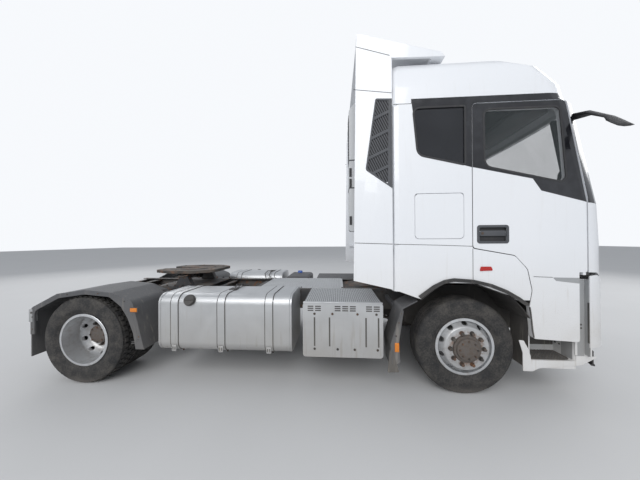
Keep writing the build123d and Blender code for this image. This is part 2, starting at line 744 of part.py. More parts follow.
# Cab fittings
dash_front = firewall_x - seat_gap
dash_half = cab_half - 135
dash_rows = [
    (dash_front, 1560, 0), (dash_front, 2060, 30), (1010, 2090, 60), (900, 1980, 60), (960, 1600, 60),
]
dash = side_prism(dash_rows, -dash_half, dash_half)
wheel_centre = Vector(760, 600, 2020)
column_foot = Vector(1010, 600, 1790)
column_radius = 28
dash += bar_between(tuple(column_foot), tuple(wheel_centre), column_radius, 16)
add("dashboard", dash)
wheel_plane = Plane(origin=wheel_centre, z_dir=column_foot - wheel_centre)
grip_rows = [(-13, 208), (0, 200), (13, 208), (13, 222), (0, 230), (-13, 222)]
boss_rows = [(-15, 0), (-15, 55), (15, 55), (15, 0)]
spokes = Box(410, 14, 34)
steering_wheel = wheel_plane * (Rot(90, 0, 0) * (turned(grip_rows, 28) + turned(boss_rows, 14) + spokes))
steering_wheel -= bar_between(tuple(column_foot), tuple(wheel_centre), column_radius + seat_gap, 16)
add("steering_wheel", steering_wheel)

seat_y = 620
seat_base_top = 1610
seat_back_x = -10
seat_back_top = 2330
seat_bases = []
seat_cushions = []
for y in (seat_y, -seat_y):
    seat_bases.append(block(60, 440, y - 200, y + 200, floor_top + seat_gap, seat_base_top))
    seat_cushions.append(soft_block(seat_back_x, 540, y - 255, y + 255, seat_base_top + seat_gap, 1750, 50))
    seat_cushions.append(soft_block(-150, seat_back_x - seat_gap, y - 245, y + 245, 1640, seat_back_top, 50))
    seat_cushions.append(soft_block(-140, -30, y - 150, y + 150, seat_back_top + seat_gap, 2560, 45))
add("seats", *seat_cushions)
bunk_half = floor_half - 10
bunk_rear = cab_rear + cab_wall + 4
bunk_base = block(bunk_rear, -190, -bunk_half, bunk_half, bunk_z - 30, bunk_z)
bunk_base += block(-210, -190, -bunk_half, bunk_half, tunnel_top + seat_gap, bunk_z)
add("seat_bases", bunk_base, *seat_bases)
bunk = soft_block(bunk_rear + 2, -180, 5 - bunk_half, bunk_half - 5, bunk_z + seat_gap, bunk_z + 150, 40)
add("bunk", bunk)

# Camera arms on the front pillars, in place of mirrors
arm_sections = [
    # distance out from the cab's side, fore and aft middle, height, half length, half thickness
    (-115, 1085, 2880, 70, 34),
    (25, 1120, 2850, 62, 24),
    (155, 1165, 2740, 60, 17),
    (200, 1170, 2680, 90, 24),
    (255, 1170, 2625, 86, 20),
    (270, 1170, 2612, 60, 10),
]
arm_edge = [
    # shares of the half length and of the half thickness, round the section
    (1, -0.3), (0.6, 0.55), (0, 1), (-0.6, 0.8), (-1, 0.3), (-0.6, -0.55), (0, -1), (0.6, -0.8),
]


def arm_section(out, x, z, reach, half):
    """A flat leaf-shaped section of the arm, with its front edge a little lower."""
    return [Vector(x + reach * along, cab_half + out, z + half * up) for along, up in arm_edge]


camera_arm = flat_sided([arm_section(*row) for row in arm_sections])
camera_arm -= cab_volume(-seat_gap)
add("camera_arms", both_sides(largest(camera_arm)))

# Tilt brackets and the rear rest of the cab
bracket_rows = [
    (rail_front - 180, rail_top + seat_gap, 0), (rail_front - 2, rail_top + seat_gap, 0),
    (tilt_x + 42, tilt_z, 40), (tilt_x, tilt_z + 50, 40), (tilt_x - 60, tilt_z + 20, 20),
]
rest_x = (-680, -600)
rest_low = floor_bottom - 60
for side in (1, -1):
    low, high = sorted((side * (tilt_lug_y - 60), side * (tilt_lug_y - 6)))
    bracket = side_prism(bracket_rows, low, high)
    bracket -= bar_y(tilt_x, tilt_z, tilt_pin_radius + running_gap, low - 5, high + 5)
    members.append(bracket)
    members.append(block(*rest_x, low, high, rail_top, rest_low - seat_gap))
members.append(block(*rest_x, -520, 520, rest_low, floor_bottom - seat_gap))

step_outer = cab_half - door_wall - 14
step_inner = step_outer - step_depth

# Bumper, with wings that rise inside the circle that the tilting cab sweeps
bumper_rows = [
    (wing_rear, 450, 20), (1500, 450, 0), (1500, bumper_top, 0), (1295, bumper_top, 0), (1295, 1210, 10),
    (1255, 1255, 20), (1210, 1272, 20), (wing_rear, 1265, 10),
]
bumper_shell = Pos(bumper_proud, 0, 0) * (cab_outer - cab_volume(bumper_wall))
bumper = bumper_shell & side_prism(bumper_rows, -cab_reach, cab_reach)
for side in (1, -1):
    low, high = sorted((side * (step_outer - 5), side * (step_outer + 5)))
    bumper += block(step_front + 3, wing_rear + 30, low, high, 450, 1225)
    low, high = sorted((side * (step_outer + 5), side * (cab_half - 3)))
    bumper += block(wing_rear + 5, wing_rear + 17, low, high, 470, 1225)
    low, high = sorted((side * (rail_outer - 60), side * rail_outer))
    bumper += block(rail_front + seat_gap, 1403, low, high, 700, 820)
bumper -= bar_x(0, tow_z, 60, 1200, 1500, 20)


def lamp_rows(side, grow):
    y0, y1 = side * (720 - grow), side * (1060 + grow)
    return [(y0, 740 - grow, 20), (y1, 770 - grow, 20), (y1, 900 + grow, 20), (y0, 880 + grow, 20)]


headlamps = []
lamp_shell = Pos(bumper_proud, 0, 0) * (cab_volume(2) - cab_volume(lamp_depth))
for side in (1, -1):
    bumper -= front_prism(lamp_rows(side, seat_gap), 1200, 1500)
    headlamps.append(lamp_shell & front_prism(lamp_rows(side, 0), 1200, 1500))
seam = block(wing_rear, 1500, bumper_seam_y, bumper_seam_y + seat_gap, 400, 1300)
add("front_bumper", bumper - both_sides(seam))
add("headlamps", *headlamps)

# Entry steps
steps = block(step_rear, step_rear + 12, step_inner, step_outer, 330, 1150)
steps += block(step_front - 12, step_front, step_inner, step_outer, 330, 1150)
steps += block(step_rear, step_front, step_inner, step_inner + 10, 330, 1150)
for z in (400, 700, 1000):
    steps += block(step_rear, step_front, step_inner, step_outer, z - 14, z)
steps += block(step_rear, step_front, step_outer - 10, step_outer, 320, 400)
steps += block(700, 780, web_y + rail_wall, step_inner + 5, 860, 920)
add("entry_steps", both_sides(steps))

# Guards behind the front wheels and over the rear wheels
front_guard_rows = [
    # down the wheel side, then back up outside
    (-500, 985, 0), (-655, 900, 60), (-770, 530, 60), (-750, 250, 0),
    (-750 - guard_wall, 250, 0), (-770 - guard_wall, 530, 60), (-665, 908, 60), (-500, 985 + guard_wall, 0),
]
guard_lip_rows = [
    (-680, 330, 20), (-690, 560, 60), (-640, 880, 0), (-655, 905, 0), (-775, 530, 0), (-757, 330, 0),
]
guard_outer = cab_half - 40
front_guard = side_prism(front_guard_rows, front_y - 160, guard_outer)
front_guard += side_prism(guard_lip_rows, guard_outer - guard_wall, guard_outer)
front_guard += block(-690, -650, rail_outer, 900, 840, 890)

rear_arch = [
    # the rear guard's outer face, from the rear round to the front: distance ahead of the axle, height
    (-645, 300), (-645, 860), (-310, 1030), (30, 1077), (350, 1050), (610, 950), (750, 420),
]
rear_arch_inside = [(738, 420), (600, 940), (347, 1039), (31, 1065), (-306, 1019), (-633, 852), (-633, 300)]
rear_guard_rows = [(rear_x + x, z, 90 if 300 < z != 420 else 0) for x, z in rear_arch + rear_arch_inside]
rear_guard = side_prism(rear_guard_rows, rear_y - 325, rear_y + 300)
rear_guard += block(rear_x + 590, rear_x + 630, rail_outer, rear_y - 305, 890, 920)
rear_guard += block(rear_x - 640, rail_rear, rail_outer - 40, rear_y - 305, 830, 870)
add("mudguards", both_sides(front_guard), both_sides(rear_guard))
add("tail_lamps", both_sides(block(rear_x - 690, rear_x - 645 - seat_gap, 720, 1120, 690, 820)))

# Fuel tanks, their straps and brackets
cap_lean = radians(24)


def tank_rows(grow):
    """The tank's section, larger by grow all round."""
    outer = tank_outer + grow
    inner = tank_outer - tank_depth - grow
    low = tank_bottom - grow
    high = tank_top + grow
    corner = tank_corner + grow
    return [(outer, low, corner), (outer, high, corner), (inner, high, corner), (inner, low, corner)]


def tank(x0, x1):
    """A tank with its filler neck and cap on the outer upper corner."""
    body = front_prism(tank_rows(0), x0, x1)
    centre = Vector(x0 + 370, tank_outer - tank_corner, tank_top - tank_corner)
    out = Vector(0, cos(cap_lean), sin(cap_lean))
    return body + bar_between(tuple(centre + out * 90), tuple(centre + out * (tank_corner + 26)), 52, 16)


def strap(x):
    """A band round the tank and the foot that carries it on the rail."""
    inner = tank_outer - tank_depth - strap_gap - strap_wall
    foot_rows = [
        (rail_outer, 430, 0), (rail_outer, 940, 0), (inner + 3, 940, 0), (inner + 3, 500, 30),
        (inner + 60, tank_bottom - 5, 30), (tank_outer - 150, tank_bottom - 4, 0),
        (tank_outer - 170, tank_bottom - 50, 30), (inner - 10, tank_bottom - 50, 60),
    ]
    made = front_prism(tank_rows(strap_gap + strap_wall), x, x + strap_width)
    made += front_prism(foot_rows, x, x + strap_width)
    return made - front_prism(tank_rows(strap_gap), x - 5, x + strap_width + 5)


add("fuel_tanks", tank(*left_tank_x), other_side(tank(*tank_x)))
tank_middle = (tank_x[0] + tank_x[1]) / 2
straps = [strap(x) for x in (left_tank_x[0] + 150, left_tank_x[1] - 230)]
straps += [other_side(strap(x)) for x in (tank_x[0] + 150, tank_middle - 70, tank_x[1] - 290)]
add("tank_straps", *straps)

# Boxes beside the frame, the urea tank and the air tanks
vent_box = soft_block(box_x[0], box_x[1], box_y[0], box_y[1], box_z[0], box_z[1], 30)
add("step_box", other_side(vent_box + block(-1500, -1100, rail_outer, box_y[0] + 5, 700, 900)))
battery_box = block(-1700, -1000, 440, 1190, 420, 940) + block(-1500, -1200, rail_outer, 441, 700, 900)
urea_tank = soft_block(-2270, -1830, 520, 1150, 450, 980, 60)
urea_tank += block(-2150, -1950, rail_outer, 521, 700, 900)
add("battery_and_urea_boxes", battery_box, urea_tank)
air_tanks = []
for y in (-200, 200):
    air_tanks.append(bar_x(y, 640, 110, -2900, -2100, 18))
    air_tanks.append(block(-2555, -2500, y - 60, y + 60, 745, member_z - seat_gap))
add("air_tanks", *air_tanks)

# Fifth wheel: base on the frame, and the plate that rocks on it
base = block(coupling_x - 380, coupling_x + 380, -rail_outer, rail_outer, rail_top, rail_top + 14)
pivot_radius = 32
ear_rows = [
    (coupling_x - 130, rail_top + 5, 0), (coupling_x + 130, rail_top + 5, 0),
    (coupling_x + 50, coupling_pivot_z + 20, 45), (coupling_x - 50, coupling_pivot_z + 20, 45),
]
for side in (1, -1):
    low, high = sorted((side * 300, side * 380))
    base += side_prism(ear_rows, low, high)
    base -= bar_y(coupling_x, coupling_pivot_z, pivot_radius + running_gap, low - 5, high + 5)
add("coupling_base", base)

plate_low = coupling_top - plate_wall
plate_rows = [
    # x and y of the plate's edge, and its corner
    (430, -260, 90), (430, 260, 90), (180, plate_half, 140), (-200, plate_half, 90), (-470, 330, 60),
    (-470, 120, 20), (-60, king_pin_radius, 0), (-60, -king_pin_radius, 0), (-470, -120, 20),
    (-470, -330, 60), (-200, -plate_half, 90), (180, -plate_half, 140),
]
plate = Pos(coupling_x, 0, 0) * plan_prism(plate_rows, plate_low, coupling_top)
throat = block(-80, 0, -king_pin_radius, king_pin_radius, plate_low - 5, coupling_top + 5)
throat += bar_z(0, 0, king_pin_radius, plate_low - 5, coupling_top + 5)
plate -= Pos(coupling_x, 0, 0) * throat
cheek_rows = [
    (coupling_x - 90, plate_low + 5, 0), (coupling_x - 45, coupling_pivot_z - 40, 40),
    (coupling_x + 45, coupling_pivot_z - 40, 40), (coupling_x + 90, plate_low + 5, 0),
]
for side in (1, -1):
    low, high = sorted((side * 230, side * 294))
    plate += side_prism(cheek_rows, low, high)
    low, high = sorted((side * 290, side * 378))
    plate += bar_y(coupling_x, coupling_pivot_z, pivot_radius, low, high)
add("coupling_plate", plate)

# Deck plate behind the cab and the bar at the rear end of the frame
add("deck_plate", block(-2440, -1250, -rail_outer, rail_outer, rail_top + seat_gap, rail_top + 8))
members.append(block(rail_rear - 30, rail_rear, -590, 590, 690, 790))
add("cross_members", *members)

# Everything is moved so that the origin lies under the middle of the truck
whole = Compound([solid for node in nodes.values() for solid in node.solids()])
bounds = whole.bounding_box()
shift = Pos(-(bounds.min.X + bounds.max.X) / 2, 0, 0)
os.makedirs("parts", exist_ok=True)
for name, shape in nodes.items():
    export_step(shift * shape, "parts/" + name + ".step")
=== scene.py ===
import json
import math

import bmesh
import bpy
from mathutils import Matrix, Vector

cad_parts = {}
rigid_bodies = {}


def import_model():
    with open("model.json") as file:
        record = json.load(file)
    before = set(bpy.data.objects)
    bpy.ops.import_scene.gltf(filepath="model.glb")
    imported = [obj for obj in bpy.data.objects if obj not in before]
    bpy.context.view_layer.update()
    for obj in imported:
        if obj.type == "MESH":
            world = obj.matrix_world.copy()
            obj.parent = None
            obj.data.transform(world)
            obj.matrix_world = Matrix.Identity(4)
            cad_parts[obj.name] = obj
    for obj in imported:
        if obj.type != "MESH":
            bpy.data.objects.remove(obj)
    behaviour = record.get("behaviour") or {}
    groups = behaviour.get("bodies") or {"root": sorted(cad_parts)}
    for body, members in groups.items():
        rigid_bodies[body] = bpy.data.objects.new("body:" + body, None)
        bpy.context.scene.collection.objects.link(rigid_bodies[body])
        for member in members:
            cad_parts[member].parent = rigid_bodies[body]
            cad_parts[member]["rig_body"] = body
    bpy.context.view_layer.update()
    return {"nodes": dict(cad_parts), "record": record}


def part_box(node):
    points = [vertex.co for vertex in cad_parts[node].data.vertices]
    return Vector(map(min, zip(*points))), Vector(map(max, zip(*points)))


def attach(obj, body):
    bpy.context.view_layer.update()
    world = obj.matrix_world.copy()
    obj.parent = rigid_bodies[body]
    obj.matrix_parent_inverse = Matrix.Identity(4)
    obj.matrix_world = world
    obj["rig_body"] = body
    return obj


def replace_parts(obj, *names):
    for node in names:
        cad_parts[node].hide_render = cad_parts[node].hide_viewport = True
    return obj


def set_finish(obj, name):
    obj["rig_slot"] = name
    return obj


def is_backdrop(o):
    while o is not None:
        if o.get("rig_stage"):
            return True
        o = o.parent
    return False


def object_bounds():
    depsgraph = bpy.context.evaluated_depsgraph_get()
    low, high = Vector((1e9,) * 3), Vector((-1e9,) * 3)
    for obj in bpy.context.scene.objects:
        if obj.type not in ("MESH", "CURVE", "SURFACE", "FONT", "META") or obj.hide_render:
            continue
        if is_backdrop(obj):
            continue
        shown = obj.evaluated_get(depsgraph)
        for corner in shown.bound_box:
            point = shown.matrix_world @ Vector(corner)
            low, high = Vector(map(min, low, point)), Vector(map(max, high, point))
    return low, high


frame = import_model()
nodes = frame["nodes"]

# Places are written in millimetres from the middle of the front axle, on the ground.
# P turns them into the row frame
axle_low, axle_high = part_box("front_axle")
axle_x = (axle_low.x + axle_high.x) / 2
rear_x = -4250  # the rear axle
hub_z = 500  # the middle of every wheel
front_y = 1020  # the middle of a front tyre
pair_y = 925  # the middle of a rear pair
twin = 167.5  # from the middle of a pair to the middle of each tyre
cab_y = 1245  # the cab's outer face
SIDES = ((1, "left"), (-1, "right"))


def P(x, y, z):
    return Vector((axle_x + x / 1000, y / 1000, z / 1000))


# Finishes: a field is a value or colour that changes over a surface
class Field:
    def __init__(self, finish, socket):
        self.finish = finish
        self.socket = socket

    def math(self, operation, *values):
        return self.finish.node("ShaderNodeMath", {"operation": operation}, dict(enumerate(values)))

    def __add__(self, other):
        return self.math("ADD", self, other)

    def __radd__(self, other):
        return self.math("ADD", other, self)

    def __sub__(self, other):
        return self.math("SUBTRACT", self, other)

    def __rsub__(self, other):
        return self.math("SUBTRACT", other, self)

    def __mul__(self, other):
        return self.math("MULTIPLY", self, other)

    def __rmul__(self, other):
        return self.math("MULTIPLY", other, self)

    def sin(self):
        return self.math("SINE", self)

    def abs(self):
        return self.math("ABSOLUTE", self)

    def root(self):
        return self.math("SQRT", self)

    def least(self, other):
        return self.math("MINIMUM", self, other)

    def step(self, low, high):
        """0 below low, 1 above high and a smooth rise between; low may be the larger."""
        ends = sorted((low, high))
        settings = {"interpolation_type": "SMOOTHSTEP", "clamp": True}
        sockets = dict(enumerate((self, *ends, 0.0, 1.0)))
        rise = self.finish.node("ShaderNodeMapRange", settings, sockets)
        return 1 - rise if low > high else rise


class Finish:
    """A material, and the record's slot that its pieces belong to."""

    def __init__(self, name, slot):
        self.slot = slot
        self.material = bpy.data.materials.new(name)
        self.material.use_nodes = True
        self.tree = self.material.node_tree
        self.shader = self.tree.nodes["Principled BSDF"]
        self.place = self.node("ShaderNodeTexCoord", output="Object")
        axes = [self.node("ShaderNodeSeparateXYZ", sockets={0: self.place}, output=axis)
                for axis in range(3)]
        self.x, self.y, self.z = axes

    def fill(self, socket, value):
        if isinstance(value, Field):
            self.tree.links.new(value.socket, socket)
        elif socket.type == "RGBA":
            socket.default_value = (*value, 1.0)
        else:
            socket.default_value = value

    def node(self, kind, settings=None, sockets=None, output=0):
        """A node of a kind: its settings first, then the values or links of its sockets."""
        made = self.tree.nodes.new(kind)
        for key, value in (settings or {}).items():
            setattr(made, key, value)
        for key, value in (sockets or {}).items():
            self.fill(made.inputs[key], value)
        return Field(self, made.outputs[output])

    def noise(self, scale, detail=3.0, stretch=(1, 1, 1), distortion=0.0):
        place = self.node("ShaderNodeMapping", sockets={"Vector": self.place, "Scale": stretch})
        sockets = {"Vector": place, "Scale": scale, "Detail": detail, "Distortion": distortion}
        return self.node("ShaderNodeTexNoise", sockets=sockets, output="Fac")

    def mix(self, factor, first, second):
        return self.node("ShaderNodeMix", {"data_type": "RGBA"}, {0: factor, 6: first, 7: second},
                         2)

    def bump(self, height, depth):
        self.set(Normal=self.node("ShaderNodeBump",
                                  sockets={"Strength": 1.0, "Distance": depth, "Height": height}))

    def set(self, **values):
        for key, value in values.items():
            self.fill(self.shader.inputs[key.replace("_", " ")], value)


def paint(mesh, material):
    mesh.materials.clear()
    mesh.materials.append(material)


def road_dirt(f, low, high, amount):
    """Dust and splashes that thin out from the height low to the height high."""
    patches = f.noise(2.2, 6.0, distortion=0.6)
    runs = f.noise(3.0, 4.0, stretch=(9, 9, 0.7))
    near = f.z.step(high, low)
    return ((near * (0.35 + patches)) * amount
            + runs.step(0.56, 0.75) * (near * 0.35 + 0.06)).least(1.0)


def white_paint(name):
    f = Finish(name, "white_paint")
    dirt = road_dirt(f, 0.45, 1.65, 0.5)
    fine = f.noise(55, 4.0)
    specks = f.noise(160, 2.0).step(0.66, 0.72) * f.z.step(1.6, 0.5)
    colour = f.mix(f.noise(0.8, 2.0), (0.79, 0.81, 0.84), (0.84, 0.85, 0.87))
    colour = f.mix(dirt, colour, (0.50, 0.46, 0.40))
    colour = f.mix(specks * 0.6, colour, (0.30, 0.26, 0.21))
    f.set(Base_Color=colour, Roughness=0.26 + dirt * 0.4 + fine * 0.06,
          Coat_Weight=0.5 - dirt * 0.4)
    f.bump(f.noise(380, 1.0) + f.noise(1.3, 2.0) * 0.6, 0.0004)
    return f


def gloss_black(name):
    f = Finish(name, "black_plastic")
    dust = f.noise(14, 5.0) * 0.5 + f.noise(2, 2.0) * 0.5
    f.set(Base_Color=f.mix(dust.step(0.35, 0.8), (0.006, 0.006, 0.008), (0.030, 0.031, 0.036)))
    f.set(Roughness=0.10 + dust * 0.16, Coat_Weight=0.6)
    return f


def moulding(name, slot, dark, pale, dusty):
    f = Finish(name, slot)
    grain = f.noise(420, 2.0)
    patches = f.noise(4.5, 5.0)
    dirt = road_dirt(f, 0.3, 1.5, dusty)
    colour = f.mix(dirt, f.mix(patches, dark, pale), (0.33, 0.30, 0.26))
    f.set(Base_Color=colour, Roughness=0.55 + grain * 0.2 + dirt * 0.15)
    f.bump(grain, 0.0006)
    return f


def chassis_paint(name):
    f = Finish(name, "frame_paint")
    patches = f.noise(7, 6.0)
    rust = f.noise(16, 6.0).step(0.60, 0.68)
    dust = f.noise(3, 3.0).step(0.35, 0.75)
    colour = f.mix(patches, (0.035, 0.036, 0.040), (0.075, 0.075, 0.078))
    colour = f.mix(dust * 0.55, colour, (0.24, 0.21, 0.18))
    colour = f.mix(rust * 0.8, colour, (0.20, 0.085, 0.035))
    f.set(Base_Color=colour, Roughness=0.5 + dust * 0.35, Metallic=0.2 - rust * 0.2)
    f.bump(patches + rust, 0.0012)
    return f


def cast_iron(name):
    f = Finish(name, "cast_metal")
    grain = f.noise(150, 4.0)
    rust = f.noise(11, 6.0).step(0.45, 0.70)
    colour = f.mix(rust, (0.07, 0.066, 0.062), (0.17, 0.085, 0.045))
    colour = f.mix(f.noise(3, 3.0).step(0.4, 0.8) * 0.5, colour, (0.24, 0.21, 0.18))
    f.set(Base_Color=colour, Roughness=0.6 + grain * 0.25, Metallic=0.45 - rust * 0.35)
    f.bump(grain, 0.0012)
    return f


def wheel_silver(name, hub_x):
    """Silver paint that turns to brown dust and rust round the hub."""
    f = Finish(name, "wheel_paint")
    dx = f.x - (axle_x + hub_x / 1000)
    dz = f.z - hub_z / 1000
    radius = (dx * dx + dz * dz).root()
    patches = f.noise(18, 6.0)
    dust = (radius.step(0.275, 0.22) * 0.25 + patches.step(0.45, 0.8) * 0.45).least(1.0)
    rust = radius.step(0.200, 0.150) * f.noise(40, 5.0).step(0.40, 0.62)
    hub = radius.step(0.150, 0.143)
    colour = f.mix(dust, (0.60, 0.61, 0.62), (0.34, 0.31, 0.28))
    colour = f.mix(rust * 0.8, colour, (0.21, 0.12, 0.075))
    colour = f.mix(hub * 0.9, colour, (0.085, 0.068, 0.056))
    f.set(Base_Color=colour, Metallic=0.65 - hub * 0.4 - rust * 0.4, Roughness=0.34 + dust * 0.35
          + hub * 0.2)
    f.bump(patches + f.noise(220, 2.0) * 0.3, 0.0008)
    return f


def dull_aluminium(name):
    f = Finish(name, "bare_aluminium")
    brushed = f.noise(30, 3.0, stretch=(1, 14, 14))
    cloud = f.noise(3.2, 5.0, distortion=0.8)
    dirt = road_dirt(f, 0.35, 1.15, 0.55)
    colour = f.mix(cloud, (0.50, 0.51, 0.52), (0.68, 0.69, 0.70))
    f.set(Base_Color=f.mix(dirt, colour, (0.36, 0.33, 0.29)), Metallic=0.85 - dirt * 0.5)
    f.set(Roughness=0.30 + brushed * 0.12 + cloud * 0.1 + dirt * 0.25)
    f.bump(brushed * 0.3 + f.noise(1.6, 3.0), 0.004)
    return f


def tyre_rubber(name):
    f = Finish(name, "tyre")
    dust = f.noise(9, 5.0) * 0.6 + f.noise(60, 3.0) * 0.4
    low = f.z.step(0.12, 0.0)
    colour = f.mix(dust.step(0.35, 0.75), (0.020, 0.020, 0.021), (0.085, 0.078, 0.070))
    f.set(Base_Color=f.mix(low * 0.5, colour, (0.20, 0.18, 0.16)), Roughness=0.72 + dust * 0.2)
    f.bump(f.noise(260, 3.0), 0.0008)
    return f


def tinted_glass(name, tint, alpha):
    f = Finish(name, "glass")
    film = f.noise(2.4, 4.0, distortion=0.5)
    f.set(Base_Color=f.mix(film, tint, tuple(c * 1.6 + 0.01 for c in tint)), Roughness=0.02
          + film * 0.05)
    f.set(Alpha=alpha + film * 0.08, Coat_Weight=0.3, IOR=1.5)
    return f


def woven_cloth(name, dark, pale):
    f = Finish(name, "seat_fabric")
    threads = 1900
    warp = (f.x * threads).sin() * (f.z * threads).sin()
    weft = (f.y * threads).sin() * (f.z * threads + f.x * threads).sin()
    weave = warp * 0.5 + weft * 0.5
    f.set(Base_Color=f.mix(f.noise(5, 4.0) * 0.7 + weave * 0.3, dark, pale), Roughness=0.85
          + weave * 0.08)
    f.set(Sheen_Weight=0.4)
    f.bump(weave * 0.4 + f.noise(300, 2.0) * 0.5, 0.0008)
    return f


def lens(name, slot, colour):
    f = Finish(name, slot)
    ribs = (f.z * 900).sin() * 0.5 + 0.5
    f.set(Base_Color=f.mix(ribs * 0.4 + f.noise(40, 3.0) * 0.3, colour,
                           tuple(c * 0.45 for c in colour)))
    f.set(Roughness=0.12 + ribs * 0.08, Coat_Weight=0.5)
    f.bump(ribs, 0.0006)
    return f


def perforated(name, pitch):
    """Aluminium sheet with rows of round holes seen from above; the holes are only painted, and
    their dark colour is painted shade.
    """
    f = Finish(name, "bare_aluminium")
    u = (f.x * (math.pi / pitch)).sin()
    v = (f.y * (math.pi / pitch)).sin()
    hole_and_shade = (u * v).abs().step(0.55, 0.70)
    # Painted shade: the hole mask turns the colour near black for the dark inside under each hole,
    # and also sinks the bump and drops the metal.
    f.set(Base_Color=f.mix(hole_and_shade, (0.55, 0.56, 0.57), (0.03, 0.03, 0.03)), Metallic=0.8 - hole_and_shade * 0.8)
    f.set(Roughness=0.38 + f.noise(20, 4.0) * 0.2)
    f.bump(1 - hole_and_shade, 0.002)
    return f


WHITE = white_paint("white_cab_paint")
BLACK = gloss_black("gloss_black_band")
PLASTIC = moulding("black_moulding", "black_plastic", (0.018, 0.018, 0.020), (0.040, 0.040, 0.042),
                   0.35)
APRON = moulding("apron_moulding", "black_plastic", (0.020, 0.020, 0.023), (0.040, 0.040, 0.045),
                 0.08)
TRIM = moulding("cabin_trim", "black_plastic", (0.10, 0.10, 0.105), (0.17, 0.17, 0.175), 0.0)
GREY = moulding("grey_moulding", "grey_plastic", (0.058, 0.061, 0.068), (0.095, 0.099, 0.108), 0.25)
PALE = moulding("pale_moulding", "grey_plastic", (0.50, 0.51, 0.52), (0.60, 0.61, 0.62), 0.35)
SILVER_GREY = moulding("silver_grey_moulding", "grey_plastic", (0.30, 0.31, 0.32),
                       (0.38, 0.39, 0.40), 0.3)
CHASSIS = chassis_paint("chassis_paint")
IRON = cast_iron("cast_iron")
RUSTY = cast_iron("rusty_nuts")
FRONT_WHEEL = wheel_silver("front_wheel_paint", 0)
REAR_WHEEL = wheel_silver("rear_wheel_paint", rear_x)
ALUMINIUM = dull_aluminium("dull_aluminium")
PERFORATED = perforated("step_plate", 0.022)
RUBBER = tyre_rubber("tyre_rubber")
CLEAR = tinted_glass("door_window", (0.05, 0.06, 0.062), 0.16)
DARK_GLASS = tinted_glass("cab_window", (0.012, 0.013, 0.016), 0.80)
CLOTH = woven_cloth("seat_cloth", (0.035, 0.036, 0.042), (0.085, 0.086, 0.095))
BEDDING = woven_cloth("bunk_cloth", (0.16, 0.17, 0.19), (0.26, 0.27, 0.29))
RED = lens("red_lens", "red_lens", (0.55, 0.02, 0.015))
AMBER = lens("amber_lens", "red_lens", (0.85, 0.26, 0.02))
LAMP = lens("headlamp_lens", "clear_lens", (0.62, 0.66, 0.70))
BLUE = lens("blue_cap", "black_plastic", (0.02, 0.10, 0.45))

plain = (WHITE, PLASTIC, GREY, CHASSIS, FRONT_WHEEL, IRON, ALUMINIUM, RUBBER, CLEAR, CLOTH, RED,
         LAMP)
node_finish = {finish.slot: finish for finish in plain}
own_finish = {
    "cab_glass": DARK_GLASS, "rear_wheel_left": REAR_WHEEL, "rear_wheel_right": REAR_WHEEL,
    "dashboard": TRIM, "seat_bases": TRIM, "air_intake": PALE, "entry_steps": WHITE,
    "arch_trims": PLASTIC,
}
for entry in frame["record"]["subparts"]:
    name = entry["node"]
    finish = own_finish.get(name, node_finish[entry["material_slot"]])
    paint(nodes[name].data, finish.material)


# Making meshes
def added(name, data):
    """A new object of the scene."""
    thing = bpy.data.objects.new(name, data)
    bpy.context.scene.collection.objects.link(thing)
    return thing


def shade(mesh, angle):
    """Smooth shading that keeps the edges sharper than the angle."""
    mesh.polygons.foreach_set("use_smooth", [True] * len(mesh.polygons))
    mesh.set_sharp_from_angle(angle=math.radians(angle))


def evaluated(piece):
    """A mesh of the piece as its modifiers leave it."""
    graph = bpy.context.evaluated_depsgraph_get()
    graph.update()
    return bpy.data.meshes.new_from_object(piece.evaluated_get(graph))


def span(side, inner, outer):
    """Two distances from the truck's middle as a range of y on one side."""
    return sorted((side * inner, side * outer))


def rect(u0, v0, u1, v1, radius=0):
    """A rectangle between two corners, as rows for rounded."""
    return [(u0, v0, radius), (u1, v0, radius), (u1, v1, radius), (u0, v1, radius)]


def make(name, verts, faces, finish, body, angle=35):
    mesh = bpy.data.meshes.new(name)
    mesh.from_pydata([tuple(v) for v in verts], [], faces)
    return dress(name, mesh, finish, body, angle)


def dress(name, mesh, finish, body, angle=35):
    """Merges a mesh, points its faces outwards and puts it on its body."""
    form = bmesh.new()
    form.from_mesh(mesh)
    bmesh.ops.remove_doubles(form, verts=form.verts, dist=1e-5)
    bmesh.ops.recalc_face_normals(form, faces=form.faces)
    form.to_mesh(mesh)
    form.free()
    paint(mesh, finish.material)
    shade(mesh, angle)
    piece = added(name, mesh)
    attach(piece, body)
    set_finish(piece, finish.slot)
    return piece


def rounded(rows, steps=5):
    """Points of an outline from rows of two coordinates and a corner radius."""
    points = []
    count = len(rows)
    for i in range(count):
        point = Vector(rows[i][:2])
        radius = rows[i][2]
        if radius == 0:
            points.append(point)
            continue
        back = (Vector(rows[i - 1][:2]) - point).normalized()
        ahead = (Vector(rows[(i + 1) % count][:2]) - point).normalized()
        half = back.angle(ahead) / 2
        reach = radius / math.tan(half)
        centre = point + (back + ahead).normalized() * (radius / math.sin(half))
        start = point + back * reach - centre
        end = point + ahead * reach - centre
        for k in range(steps + 1):
            t = k / steps
            arm = (start * (1 - t) + end * t).normalized() * radius
            points.append(centre + arm)
    return points


def placed(plane, u, v, w):
    """A point from two coordinates on a plane and its height off it, in millimetres."""
    if plane == "side":
        return P(u, w, v)
    if plane == "front":
        return P(w, u, v)
    return P(u, v, w)


